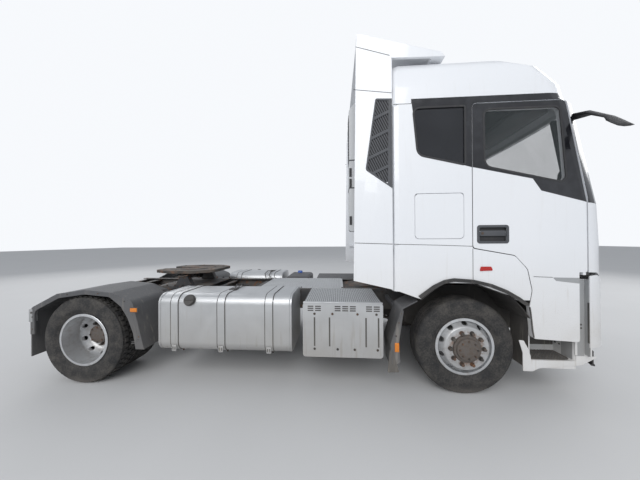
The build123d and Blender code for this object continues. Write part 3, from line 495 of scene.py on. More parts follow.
def plate(name, plane, rows, low, high, finish, body, holes=(), bevel=0.0):
    """An outline with rounded corners and holes, drawn out from low to high."""
    curve = bpy.data.curves.new(name, "CURVE")
    curve.dimensions = "2D"
    curve.fill_mode = "BOTH"
    curve.extrude = abs(high - low) / 2
    curve.bevel_depth = bevel
    for loop in (rows, *holes):
        points = rounded(loop)
        spline = curve.splines.new("POLY")
        spline.points.add(len(points) - 1)
        for k, point in enumerate(points):
            spline.points[k].co = (point.x, point.y, 0, 1)
        spline.use_cyclic_u = True
    shape = added(name, curve)
    mesh = evaluated(shape)
    bpy.data.objects.remove(shape)
    middle = (low + high) / 2
    for vertex in mesh.vertices:
        u, v, w = vertex.co
        vertex.co = placed(plane, u, v, middle + w)
    mesh.update()
    return dress(name, mesh, finish, body)


def solid(name, plane, rows, low, high, finish, body, bevel):
    """An outline drawn out from low to high, with its long edges bevelled."""
    points = rounded(rows, 4)
    count = len(points)
    verts = [placed(plane, p.x, p.y, w) for w in (low, high) for p in points]
    faces = [list(range(count)), list(range(count, 2 * count))]
    faces += [[k, (k + 1) % count, count + (k + 1) % count, count + k] for k in range(count)]
    piece = make(name, verts, faces, finish, body)
    soften(piece, bevel)
    return piece


def soften(piece, width):
    modifier = piece.modifiers.new("Bevel", "BEVEL")
    modifier.width = width / 1000
    modifier.segments = 2
    modifier.limit_method = "ANGLE"
    modifier.angle_limit = math.radians(40)
    flatten(piece)


def flatten(piece):
    """The piece's modifiers become part of its mesh."""
    mesh = evaluated(piece)
    piece.modifiers.clear()
    piece.data = mesh
    shade(mesh, 35)


def lathe(name, rows, x, finish, body, angle):
    """Rows of y and radius in millimetres, turned about the wheel axis at x."""
    segments = 96
    verts, faces = [], []
    for k in range(segments):
        turn = 2 * math.pi * k / segments
        for y, r in rows:
            verts.append(P(x + r * math.cos(turn), y, hub_z + r * math.sin(turn)))
    count = len(rows)
    for k in range(segments):
        for i in range(count - 1):
            a, b = k * count + i, ((k + 1) % segments) * count + i
            faces.append([a, b, b + 1, a + 1])
    return make(name, verts, faces, finish, body, angle)


def tube(name, route, radius, finish, body, segments=10, closed=False):
    """A round bar along a route of millimetre points."""
    points = [P(*p) for p in route]
    verts, faces = [], []
    up = Vector((0, 0, 1))
    for i, point in enumerate(points):
        before = points[max(i - 1, 0)] if not closed else points[i - 1]
        after = points[min(i + 1, len(points) - 1)] if not closed else points[(i + 1) % len(points)]
        along = (after - before).normalized()
        side = along.cross(up if abs(along.z) < 0.9 else Vector((1, 0, 0))).normalized()
        top = side.cross(along)
        for k in range(segments):
            turn = 2 * math.pi * k / segments
            verts.append(point + (side * math.cos(turn) + top * math.sin(turn)) * radius / 1000)
    runs = len(points) if closed else len(points) - 1
    for i in range(runs):
        j = (i + 1) % len(points)
        for k in range(segments):
            n = (k + 1) % segments
            faces.append([i * segments + k, i * segments + n, j * segments + n, j * segments + k])
    if not closed:
        faces.append(list(range(segments)))
        faces.append(list(range((len(points) - 1) * segments, len(points) * segments)))
    return make(name, verts, faces, finish, body, 50)


def joined(name, pieces):
    """Several pieces of one finish and body as one piece."""
    form = bmesh.new()
    for piece in pieces:
        form.from_mesh(piece.data)
    mesh = bpy.data.meshes.new(name)
    form.to_mesh(mesh)
    form.free()
    first = pieces[0]
    mesh.materials.append(first.data.materials[0])
    shade(mesh, 35)
    body, slot = first["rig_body"], first["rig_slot"]
    for piece in pieces:
        bpy.data.objects.remove(piece)
    whole = added(name, mesh)
    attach(whole, body)
    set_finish(whole, slot)
    return whole


# Repeats by Geometry Nodes: a unit form is put on each point, turned and sized, and realized
def repeat_tree(form):
    tree = bpy.data.node_groups.new("repeat_" + form, "GeometryNodeTree")
    face = tree.interface
    face.new_socket("Geometry", in_out="INPUT", socket_type="NodeSocketGeometry")
    face.new_socket("Size", in_out="INPUT", socket_type="NodeSocketVector")
    face.new_socket("Finish", in_out="INPUT", socket_type="NodeSocketMaterial")
    face.new_socket("Geometry", in_out="OUTPUT", socket_type="NodeSocketGeometry")

    def new(kind, **inputs):
        made = tree.nodes.new(kind)
        for key, value in inputs.items():
            made.inputs[key.replace("_", " ")].default_value = value
        return made

    def link(a, output, b, input):
        tree.links.new(a.outputs[output], b.inputs[input])

    source = new("NodeGroupInput")
    if form == "bolt":
        washer = new("GeometryNodeMeshCylinder", Vertices=16, Radius=0.5, Depth=0.2)
        head = new("GeometryNodeMeshCylinder", Vertices=6, Radius=0.36, Depth=0.9)
        raise_washer = new("GeometryNodeTransform", Translation=(0, 0, 0.1))
        raise_head = new("GeometryNodeTransform", Translation=(0, 0, 0.55))
        unit = new("GeometryNodeJoinGeometry")
        link(washer, "Mesh", raise_washer, "Geometry")
        link(head, "Mesh", raise_head, "Geometry")
        link(raise_washer, "Geometry", unit, "Geometry")
        link(raise_head, "Geometry", unit, "Geometry")
    elif form == "button":
        cylinder = new("GeometryNodeMeshCylinder", Vertices=14, Radius=0.5, Depth=1.0)
        unit = new("GeometryNodeTransform", Translation=(0, 0, 0.5))
        link(cylinder, "Mesh", unit, "Geometry")
    else:
        cube = new("GeometryNodeMeshCube", Size=(1, 1, 1))
        unit = new("GeometryNodeTransform")
        link(cube, "Mesh", unit, "Geometry")
    place = new("GeometryNodeInstanceOnPoints")
    turn = tree.nodes.new("GeometryNodeInputNamedAttribute")
    turn.data_type = "FLOAT_VECTOR"
    turn.inputs["Name"].default_value = "turn"
    real = new("GeometryNodeRealizeInstances")
    cover = new("GeometryNodeSetMaterial")
    sink = new("NodeGroupOutput")
    link(source, "Geometry", place, "Points")
    link(unit, "Geometry", place, "Instance")
    link(turn, "Attribute", place, "Rotation")
    link(source, "Size", place, "Scale")
    link(place, "Instances", real, "Geometry")
    link(real, "Geometry", cover, "Geometry")
    link(source, "Finish", cover, "Material")
    link(cover, "Geometry", sink, "Geometry")
    return tree


trees = {form: repeat_tree(form) for form in ("bolt", "button", "block")}


def repeat(name, form, size, places, finish, body):
    """The form at each place, a row of x, y, z and a turn in degrees about X, Y and Z."""
    mesh = bpy.data.meshes.new(name)
    mesh.from_pydata([tuple(P(*row[:3])) for row in places], [], [])
    turns = mesh.attributes.new("turn", "FLOAT_VECTOR", "POINT")
    turns.data.foreach_set("vector", [math.radians(a) for row in places for a in row[3:]])
    carrier = added(name, mesh)
    modifier = carrier.modifiers.new("Repeat", "NODES")
    modifier.node_group = trees[form]
    sockets = {s.name: s.identifier for s in trees[form].interface.items_tree
               if s.in_out == "INPUT"}
    modifier[sockets["Size"]] = [s / 1000 for s in size]
    modifier[sockets["Finish"]] = finish.material
    result = evaluated(carrier)
    bpy.data.objects.remove(carrier)
    return dress(name, result, finish, body, 30)


# Turns that point a repeat's own Z along an axis
TO_RIGHT, TO_LEFT = (90, 0, 0), (-90, 0, 0)
TO_FRONT, TO_REAR = (0, 90, 0), (0, -90, 0)
UP, DOWN = (0, 0, 0), (180, 0, 0)


def outward(side):
    return TO_LEFT if side > 0 else TO_RIGHT


# Camera at the photograph's place and angle
def aim(yaw, pitch, roll):
    yaw, pitch, roll = (math.radians(a) for a in (yaw, pitch, roll))
    ahead = Vector((-math.sin(yaw) * math.cos(pitch), math.cos(yaw) * math.cos(pitch),
                    math.sin(pitch)))
    level = Vector((math.cos(yaw), math.sin(yaw), 0))
    over = level.cross(ahead)
    right = math.cos(roll) * level + math.sin(roll) * over
    up = -math.sin(roll) * level + math.cos(roll) * over
    return Matrix((right, up, -ahead)).transposed()


camera_data = bpy.data.cameras.new("photo_camera")
camera_data.lens = 13.5
camera_data.sensor_width = 36
camera_data.clip_end = 200
camera = added("photo_camera", camera_data)
camera.location = P(-1328, -3774, 1628)
camera.rotation_mode = "QUATERNION"
camera.rotation_quaternion = aim(4.14, 0.12, -0.36).to_quaternion()
bpy.context.scene.camera = camera

# The cab's outer form: height, nose, half width, corner radius
cab_form = [
    (560, 1360, 1245, 250), (1560, 1360, 1245, 250), (1960, 1340, 1245, 250),
    (2990, 1106, 1245, 250), (3032, 1040, 1245, 250), (3190, 1000, 1238, 250),
    (3380, 830, 1215, 260), (3490, 560, 1150, 300), (3548, 120, 1010, 340),
]
nose_bulge = 45


def section(z):
    for low, high in zip(cab_form, cab_form[1:]):
        if z <= high[0]:
            t = max((z - low[0]) / (high[0] - low[0]), 0)
            return [a + (b - a) * t for a, b in zip(low[1:], high[1:])]
    return list(cab_form[-1][1:])


def nose_x(y, z):
    """How far forward the cab's outer face is at a width and height."""
    nose, half, corner = section(z)
    flat = half - corner
    if abs(y) > flat:
        return nose - corner + math.sqrt(max(corner ** 2 - (abs(y) - flat) ** 2, 0))
    arc = (flat ** 2 + nose_bulge ** 2) / (2 * nose_bulge)
    return nose + nose_bulge - arc + math.sqrt(arc ** 2 - y ** 2)


def shell_gap(point):
    """How far a point of the row frame lies inside the cab's outer face, in millimetres."""
    x, y, z = (point.x - axle_x) * 1000, abs(point.y) * 1000, point.z * 1000
    nose, half, corner = section(z)
    if x <= nose - corner:
        return half - y
    if y <= half - corner:
        return nose_x(y, z) - x
    return corner - math.hypot(x - nose + corner, y - half + corner)


def skin(name, node, lines, finish, body, lift=1.2, plane="side", shift=0.0):
    """A cover on a cab panel's outer face, cut by lines; what lies to the left of each is kept.

    shift is how far the panel stands forward of the cab's form."""
    form = bmesh.new()
    form.from_mesh(nodes[node].data)
    bmesh.ops.remove_doubles(form, verts=form.verts, dist=1e-5)
    step = Vector((shift / 1000, 0, 0))
    inner = [
        f for f in form.faces
        if max(abs(shell_gap(v.co - step)) for v in f.verts) > 2.5
        or abs(shell_gap(f.calc_center_median() - step)) > 4
    ]
    bmesh.ops.delete(form, geom=inner, context="FACES")
    for u0, v0, u1, v1 in lines:
        if plane == "side":
            point, far = P(u0, 0, v0), P(u1, 0, v1)
            normal = Vector(((far - point).z, 0, -(far - point).x))
        else:
            point, far = P(0, u0, v0), P(0, u1, v1)
            normal = Vector((0, (far - point).z, -(far - point).y))
        whole = form.verts[:] + form.edges[:] + form.faces[:]
        bmesh.ops.bisect_plane(form, geom=whole, plane_co=point, plane_no=normal, clear_outer=True)
    bmesh.ops.remove_doubles(form, verts=form.verts, dist=1e-4)
    form.normal_update()
    old = form.verts[:]
    rim = [tuple(e.verts) for e in form.edges if e.is_boundary]
    faces = form.faces[:]
    new = {v: form.verts.new(v.co + v.normal * lift / 1000) for v in old}
    for face in faces:
        form.faces.new([new[v] for v in face.verts])
    for a, b in rim:
        form.faces.new((a, b, new[b], new[a]))
    bmesh.ops.reverse_faces(form, faces=faces)
    mesh = bpy.data.meshes.new(name)
    form.to_mesh(mesh)
    form.free()
    return dress(name, mesh, finish, body, 25)


# Tyres with ribs in front and blocks behind
def tyre_rows(middle, tread, grooves):
    outer = [(-112, 287), (-114, 303), (-126, 322), (-139, 345), (-141, 347), (-142, 352),
             (-144.5, 372), (-145, 400), (-143.5, 428), (-141, 440), (-139.5, 441), (-137, 452),
             (-131, 470), (-127, 479), (-121, 486), (-112, tread - 6), (-100, tread)]
    rows = [(middle + y, r) for y, r in outer]
    for centre, width, depth in grooves:
        for y, r in ((-width, tread), (-width * 0.6, tread - depth), (width * 0.6, tread - depth),
                     (width, tread)):
            rows.append((middle + centre + y, r))
    return rows + [(middle - y, r) for y, r in reversed(outer)] + rows[:1]


rib_grooves = [(-66, 6, 13), (-24, 6, 14), (24, 6, 14), (66, 6, 13)]
block_grooves = [(-40, 5, 2), (0, 3, 2), (40, 5, 2)]
wheel_rows = [
    # tyres, body, middles of the tyres, x, grooves, radius of the tread
    ("front_tyre_", "front_wheel_", (front_y,), 0, rib_grooves, 500),
    ("rear_tyres_", "rear_wheels_", (pair_y - twin, pair_y + twin), rear_x, block_grooves, 487),
]
lug_count = 48
lug_reach = 492.6
for tyres, wheels, middles, x, grooves, tread in wheel_rows:
    for side, end in SIDES:
        name, body = tyres + end, wheels + end
        rings = []
        for i, middle in enumerate(side * m for m in middles):
            rows = tyre_rows(middle, tread, grooves)
            rings.append(lathe(f"{name}_{i}", rows, x, RUBBER, body, 30))
            if tread < 500:
                lugs = []
                for row, offset in ((-78, 0.0), (-22, 0.5), (22, 0.0), (78, 0.5)):
                    for k in range(lug_count):
                        turn = 360 * (k + offset) / lug_count
                        lugs.append((x + lug_reach * math.cos(math.radians(turn)), middle + row,
                                     hub_z + lug_reach * math.sin(math.radians(turn)), 0,
                                     90 - turn, 9 if row > 0 else -9))
                rings.append(repeat(f"{name}_lugs_{i}", "block", (46, 40, 13), lugs, RUBBER, body))
        whole = joined(name.replace("tyre", "road_tyre"), rings)
        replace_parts(whole, name)


# Nuts and hub bolts of the wheels
def round_places(x, y, radius, count, turn):
    """Places for a repeat, evenly round a wheel's axis."""
    angles = [2 * math.pi * k / count for k in range(count)]
    return [(x + radius * math.cos(a), y, hub_z + radius * math.sin(a), *turn) for a in angles]


wheel_bolts = [
    # nuts, body, x, y of the disc's face, y of the cap's face
    ("front_nuts_", "front_wheel_", 0, 1187, 1232),
    ("rear_nuts_", "rear_wheels_", rear_x, 936, 1057),
]
nut_circle, cap_circle = 167.5, 88
for nuts, wheels, x, disc_y, cap_y in wheel_bolts:
    for side, end in SIDES:
        ring = round_places(x, side * disc_y, nut_circle, 10, outward(side))
        repeat(nuts + end, "bolt", (46, 46, 34), ring, RUSTY, wheels + end)
        ring = round_places(x, side * cap_y, cap_circle, 8, outward(side))
        repeat(nuts.replace("nuts", "cap_bolts") + end, "bolt", (20, 20, 12), ring, IRON,
               wheels + end)

# Black band round the side windows and over the pillars, and the dark header above it
for side, end in SIDES:
    door = "door_" + end
    skin("door_band_rear_" + end, door, [(-100, 2392, 612, 2230), (611, 0, 611, 4000)], BLACK, door)
    skin("door_band_step_" + end, door,
         [(611, 4000, 611, 0), (611, 2231, 690, 2110), (689, 0, 689, 4000)], BLACK, door)
    skin("door_band_front_" + end, door, [(689, 4000, 689, 0), (690, 2110, 1160, 1975)], BLACK,
         door)
    skin("quarter_band_" + end, "cab_side_" + end,
         [(-562, 3072, -490, 2505), (-490, 2510, 60, 2352), (900, 2900, 899, 4000)], BLACK, "cab")
skin("pillar_band", "cab_front", [(1000, 1992, 1500, 1962)], BLACK, "cab")
skin("roof_band", "cab_roof", [(-562, 3080, -561, 3000), (2000, 3072, -2000, 3084)], BLACK, "cab")

# Service flap: a dark grille with slats, and a gloss strip below the windscreen
skin("flap_grille_back", "front_flap",
     [(-820, 1090, 820, 1090), (820, 1090, 860, 1470), (860, 1470, -860, 1470),
      (-860, 1470, -820, 1090)], PLASTIC, "front_flap", plane="front")
skin("flap_top_strip", "front_flap",
     [(-900, 1700, 900, 1700), (900, 1840, -900, 1840), (900, 1700, 900, 1840),
      (-900, 1840, -900, 1700)], BLACK, "front_flap", plane="front")
slats = []
for z in range(1120, 1460, 55):
    half = 800 + (z - 1100) * 0.1
    count = 12
    route = [(nose_x(y, z) + 3, y, z)
             for y in [half * (2 * k / count - 1) for k in range(count + 1)]]
    slats.append(tube(f"slat_{z}", route, 8, GREY, "front_flap", 8))
joined("flap_slats", slats)


# Smooth copies of the CAD nodes, with even shading over their large faces
body_of = {node: body for body, held in frame["record"]["behaviour"]["bodies"].items()
           for node in held}
slot_of = {entry["node"]: entry["material_slot"] for entry in frame["record"]["subparts"]}


def even(piece):
    """Normals weighted by face area, so that flat faces stay flat beside round ones."""
    modifier = piece.modifiers.new("Even", "WEIGHTED_NORMAL")
    modifier.keep_sharp = True
    mesh = evaluated(piece)
    piece.modifiers.clear()
    piece.data = mesh


def smooth_copy(node, angle, bevel=0.0):
    mesh = nodes[node].data.copy()
    material = mesh.materials[0]
    form = bmesh.new()
    form.from_mesh(mesh)
    bmesh.ops.remove_doubles(form, verts=form.verts, dist=2e-5)
    bmesh.ops.dissolve_limit(form, angle_limit=math.radians(0.6), verts=form.verts,
                             edges=form.edges)
    form.to_mesh(mesh)
    form.free()
    shade(mesh, angle)
    piece = added(node + "_shell", mesh)
    if bevel:
        soften(piece, bevel)
    even(piece)
    paint(piece.data, material)
    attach(piece, body_of[node])
    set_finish(piece, slot_of[node])
    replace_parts(piece, node)
    return piece


smooth_nodes = [
    # node, angle that stays sharp, bevel
    ("cab_side_left", 30, 0), ("cab_side_right", 30, 0), ("cab_roof", 35, 0), ("cab_front", 30, 0),
    ("front_flap", 30, 0), ("front_bumper", 30, 0), ("door_left", 30, 0), ("door_right", 30, 0),
    ("side_fairings", 30, 0), ("roof_deflector", 30, 2.5), ("camera_arms", 50, 0),
    ("fuel_tanks", 42, 0), ("tank_straps", 42, 0), ("mudguards", 42, 0), ("step_box", 42, 0),
    ("battery_and_urea_boxes", 42, 5), ("arch_trims", 42, 0), ("locker_lid_left", 42, 0),
    ("locker_lid_right", 42, 0), ("leaf_springs", 42, 0), ("rear_axle", 42, 0),
    ("front_axle", 42, 0), ("knuckle_left", 42, 0), ("knuckle_right", 42, 0), ("tie_rod", 42, 0),
    ("air_tanks", 42, 0), ("engine", 42, 8), ("air_intake", 42, 4), ("dashboard", 42, 6),
    ("seat_bases", 42, 6), ("headlamps", 30, 0), ("door_glass_left", 30, 0),
    ("door_glass_right", 30, 0), ("frame_rails", 35, 0), ("cab_rear_wall", 30, 0),
    ("entry_steps", 35, 0),
]
for node, angle, bevel in smooth_nodes:
    smooth_copy(node, angle, bevel)


# The windscreen is clear and the rear side windows are dark
for name, finish, ahead in (("windscreen", CLEAR, True), ("quarter_windows", DARK_GLASS, False)):
    pane_piece = smooth_copy("cab_glass", 30)
    pane_piece.name = name
    form = bmesh.new()
    form.from_mesh(pane_piece.data)
    others = [f for f in form.faces if (f.calc_center_median().x > P(400, 0, 0).x) != ahead]
    bmesh.ops.delete(form, geom=others, context="FACES")
    form.to_mesh(pane_piece.data)
    form.free()
    paint(pane_piece.data, finish.material)


# Wheels, turned smooth, with their oval hand holes
def cut(piece, cutter):
    modifier = piece.modifiers.new("Cut", "BOOLEAN")
    modifier.object = cutter
    modifier.operation = "DIFFERENCE"
    modifier.solver = "EXACT"
    flatten(piece)
    bpy.data.objects.remove(cutter)


hand_holes = 10
hole_circle = 248


def oval_cutters(x, y_range, half, rise):
    """Cutters for the hand holes of a wheel, half wide either way and rise high either way."""
    verts, faces = [], []
    steps = 20
    for i in range(hand_holes):
        turn = 2 * math.pi * (i + 0.5) / hand_holes
        out = Vector((math.cos(turn), math.sin(turn)))
        along = Vector((-out.y, out.x))
        base = len(verts)
        for y in y_range:
            for k in range(steps):
                a = 2 * math.pi * k / steps
                point = out * (hole_circle + rise * math.sin(a)) + along * half * math.cos(a)
                verts.append(P(x + point.x, y, hub_z + point.y))
        faces.append([base + k for k in range(steps)])
        faces.append([base + steps + k for k in range(steps)][::-1])
        for k in range(steps):
            n = (k + 1) % steps
            faces.append([base + k, base + steps + k, base + steps + n, base + n])
    mesh = bpy.data.meshes.new("hand_holes")
    mesh.from_pydata([tuple(v) for v in verts], [], faces)
    form = bmesh.new()
    form.from_mesh(mesh)
    bmesh.ops.recalc_face_normals(form, faces=form.faces)
    form.to_mesh(mesh)
    form.free()
    return added("hand_holes", mesh)


def rim_profile(middle, way):
    """Half of a drop-centre rim, from its outer lip over the bead to the inner lip."""
    rows = [(126, 273), (126, 294), (124.5, 298.5), (121, 300), (117, 299), (113, 293), (109, 286),
            (98, 285), (86, 283), (70, 285.5), (-104, 285.5), (-113, 293), (-118, 299),
            (-122, 300), (-125, 297), (-126, 292), (-126, 273)]
    return [(middle + way * y, r) for y, r in rows]


front_disc = [
    # the disc's hollow side, hub and outer face, from the inner lip back to the outer one
    (62, 272.5), (80, 266), (104, 250), (130, 232), (152, 214), (154, 205), (60, 205), (-70, 205),
    (-70, 0), (214, 0), (214, 50), (213, 60), (209, 104), (206, 111), (200, 114), (186, 116),
    (184, 136), (180, 138), (168, 138), (167.5, 140), (167.5, 216), (166, 221), (162, 225),
    (150, 235), (128, 248), (106, 262), (94, 270), (90, 273),
]
rear_disc = [
    # the same for a pair, whose two discs meet in the middle
    (-105.5, 272.5), (-88, 266), (-62, 250), (-36, 230), (-14, 210), (-12, 205), (-60, 205),
    (-220, 205), (-220, 0), (134, 0), (134, 58), (132, 66), (128, 98), (124, 104), (60, 108),
    (40, 112), (24, 134), (20, 138), (12.5, 138), (12, 142), (12, 206), (14, 213), (36, 231),
    (62, 250), (88, 266), (105.5, 272.5),
]
pair_well = [(72, 273), (40, 250), (20, 236), (0, 234), (-20, 236), (-40, 250), (-72, 273)]
for side, end in SIDES:
    rows = [(side * (front_y + y), r) for y, r in rim_profile(0, 1) + front_disc]
    wheel = lathe("front_rim_" + end, rows + rows[:1], 0, FRONT_WHEEL, "front_wheel_" + end, 32)
    cut(wheel, oval_cutters(0, span(side, front_y + 64, front_y + 190), 29, 17))
    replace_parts(wheel, "front_wheel_" + end)
    pair = rim_profile(-twin, 1) + rear_disc + rim_profile(twin, -1)[::-1] + pair_well
    rows = [(side * (pair_y + y), r) for y, r in pair]
    wheel = lathe("rear_rims_" + end, rows + rows[:1], rear_x, REAR_WHEEL, "rear_wheels_" + end, 32)
    cut(wheel, oval_cutters(rear_x, span(side, pair_y - 120, pair_y + 120), 28, 15))
    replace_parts(wheel, "rear_wheel_" + end)


# Flat pieces on the truck's sides
def panel(name, side, rows, inner, outer, finish, body, holes=(), bevel=0.0):
    low, high = span(side, inner, outer)
    return plate(name, "side", rows, low, high, finish, body, holes, bevel)


def strip(name, side, route, width, inner, outer, finish, body):
    """A flat band of the given width along a route of x and z on one side."""
    points = [Vector(p) for p in route]
    last = len(points) - 1
    verts, faces = [], []
    for i, point in enumerate(points):
        along = (points[min(i + 1, last)] - points[max(i - 1, 0)]).normalized()
        across = Vector((-along.y, along.x)) * width / 2
        for y, way in ((inner, 1), (inner, -1), (outer, -1), (outer, 1)):
            place = point + across * way
            verts.append(P(place.x, side * y, place.y))
    for i in range(last):
        for k in range(4):
            n = (k + 1) % 4
            faces.append([4 * i + k, 4 * i + n, 4 * i + 4 + n, 4 * i + 4 + k])
    faces += [[0, 1, 2, 3], [4 * last + k for k in range(4)]]
    return make(name, verts, faces, finish, body, 30)


def box(name, x, y, z, finish, body, bevel=0.0):
    """A block between two values along each axis, with softened edges."""
    verts = [P(a, b, c) for c in z for b in y for a in x]
    faces = [[0, 1, 3, 2], [4, 5, 7, 6], [0, 1, 5, 4], [2, 3, 7, 6], [0, 2, 6, 4], [1, 3, 7, 5]]
    piece = make(name, verts, faces, finish, body)
    if bevel:
        soften(piece, bevel)
    return piece


def crossing(shape, start, way):
    """Where a line enters and leaves an outline without hollows."""
    low, high = -1e6, 1e6
    for i, row in enumerate(shape):
        a, b = Vector(shape[i - 1][:2]), Vector(row[:2])
        normal = Vector((b.y - a.y, a.x - b.x))
        speed, far = normal.dot(way), normal.dot(a - start)
        if abs(speed) < 1e-9:
            continue
        if speed < 0:
            high = min(high, far / speed)
        else:
            low = max(low, far / speed)
    return low, high


# Cab sides: gasket in the door's gap, seams, arch, handle, lamp, vent and window seals
door_edge = [(36, 3002), (36, 1541), (432, 1467), (500, 1432), (553, 1332), (588, 1200),
             (598, 1120), (590, 1040), (571, 975)]
cab_seams = [
    [(36, 1538), (36, 1192)], [(36, 1560), (-300, 1573), (-744, 1585)],
    [(-560, 3030), (-744, 3032)],
]
door_seam = [(612, 1256), (790, 1250)]
fairing_seams = [[(-1150, 1600), (-758, 1586)], [(-1152, 3205), (-758, 3152)],
                 [(-1124, 3652), (-776, 3541)]]
vent_shape = [(-925, 3100, 20), (-758, 3092, 0), (-758, 2165, 0), (-1030, 2360, 40)]
recess = [(-925, 3098), (-782, 3088), (-792, 2204), (-1028, 2362)]
pane = [(155, 2430, 60), (175, 2360, 80), (930, 2180, 60), (870, 2940, 60), (150, 2940, 60)]
quarter = [(-500, 2500, 90), (-30, 2385, 20), (-30, 2985, 20), (-545, 2985, 60)]


def grown(rows, reach):
    """An outline moved outwards by reach, for outlines that run either way round."""
    points = [Vector(row[:2]) for row in rows]
    middle = sum(points, Vector((0, 0))) / len(points)
    moved = []
    for i, (u, v, radius) in enumerate(rows):
        point = points[i]
        back = (points[i - 1] - point).normalized()
        ahead = (points[(i + 1) % len(points)] - point).normalized()
        out = -(back + ahead).normalized() * reach / max(math.sin(back.angle(ahead) / 2), 0.3)
        if out.dot(point - middle) * reach < 0:
            out = -out
        moved.append((u + out.x, v + out.y, max(radius + reach, 1)))
    return moved


for side, end in SIDES:
    door = "door_" + end
    strip("door_gasket_" + end, side, door_edge, 5, 1200, 1241, PLASTIC, "cab")
    strips = [strip(f"seam_{end}_{i}", side, route, 5, cab_y - 1, cab_y + 0.8, PLASTIC, "cab")
              for i, route in enumerate(cab_seams)]
    strips += [strip(f"seam_{end}_f{i}", side, route, 6, cab_y - 1, cab_y + 0.8, PLASTIC, "cab")
               for i, route in enumerate(fairing_seams)]
    joined("side_seams_" + end, strips)
    strip("door_seam_" + end, side, door_seam, 5, cab_y - 1, cab_y + 0.8, PLASTIC, door)
    panel("door_wedge_" + end, side, [(790, 1249, 4), (1034, 1246, 4), (1034, 1190, 4),
                                      (820, 1215, 12)], 1244, 1246, SILVER_GREY, door)
    strip("door_lip_" + end, side, [(572, 952), (580, 900), (588, 826), (597, 727), (609, 652)],
          12, 1244, 1250, PLASTIC, door)
    liner = [(-470, 1010), (-400, 1066), (-255, 1178), (-100, 1183), (60, 1174), (250, 1112),
             (425, 1040), (520, 930), (598, 820)]
    strip("arch_liner_" + end, side, liner, 4, 720, 1233, PLASTIC, "cab")
    lip = [(-494, 1044), (-348, 1152), (-243, 1206), (-150, 1223), (40, 1209), (204, 1168),
           (350, 1108), (466, 1039), (546, 990)]
    tube("arch_bead_" + end, [(x, side * 1262, z) for x, z in lip], 4, PLASTIC, "cab", 8)

    frame_rows = rect(78, 1588, 382, 1772, 26)
    frame_hole = rect(100, 1610, 360, 1750, 14)
    panel("handle_frame_" + end, side, frame_rows, 1244, 1248, GREY, door, [frame_hole], 1.0)
    panel("handle_recess_" + end, side, grown(frame_hole, 8), 1223, 1225, PLASTIC, door)
    low, high = span(side, 1228, 1247)
    solid("handle_bar_" + end, "side",
          [(104, 1662, 12), (356, 1662, 12), (356, 1718, 20), (104, 1718, 20)], low, high, GREY,
          door, 4)
    repeat("handle_lock_" + end, "button", (26, 26, 4), [(128, side * 1246, 1690, *outward(side))],
           IRON, door)
    panel("side_marker_" + end, side,
          [(100, 1312, 6), (222, 1318, 6), (208, 1354, 6), (112, 1354, 6)], 1244, 1252, RED, "cab",
          (), 1.5)

    # Window seals
    for name, rows, body in (("door_window_seal_", pane, door),
                             ("quarter_window_seal_", quarter, "cab")):
        panel(name + end, side, grown(rows, 9), 1240, 1247.4, PLASTIC, body, [grown(rows, -9)], 0.6)

    # Vent: a black back inside the recess as painted shade, slats and a frame with rising bars
    panel("vent_back_" + end, side, [(*p, 16) for p in recess], 1233, 1234.2, PLASTIC, "cab")
    way = Vector((0.44, -0.9))
    slats = []
    for k in range(26):
        start = Vector((-1420 + 26 * k, 3110))
        near, far = crossing(recess, start, way)
        if far - near > 30:
            a, b = start + way * (near + 6), start + way * (far - 6)
            slats.append(strip(f"vent_slat_{k}", side, [a, b], 11, 1236, 1243, GREY, "cab"))
    joined("vent_slats_" + end, slats)
    holes = []
    rises = [3300, 2975, 2783, 2590, 2413, 2150]
    inner = [Vector(p) for p in ((-914, 3082), (-790, 3074), (-802, 2212), (-1012, 2368))]
    for upper, lower in zip(rises, rises[1:]):
        cell = inner
        for level, sign in ((upper - 15, 1), (lower + 15, -1)):
            kept = []
            for i, point in enumerate(cell):
                before = cell[i - 1]
                near = sign * (level + (before.x + 760) * 0.46 - before.y)
                far = sign * (level + (point.x + 760) * 0.46 - point.y)
                if near * far < 0:
                    kept.append(before.lerp(point, near / (near - far)))
                if far >= 0:
                    kept.append(point)
            cell = kept
        if len(cell) > 2:
            holes.append([(p.x, p.y, 5) for p in cell])
    panel("vent_frame_" + end, side, vent_shape, 1244, 1247, GREY, "cab", holes, 0.8)

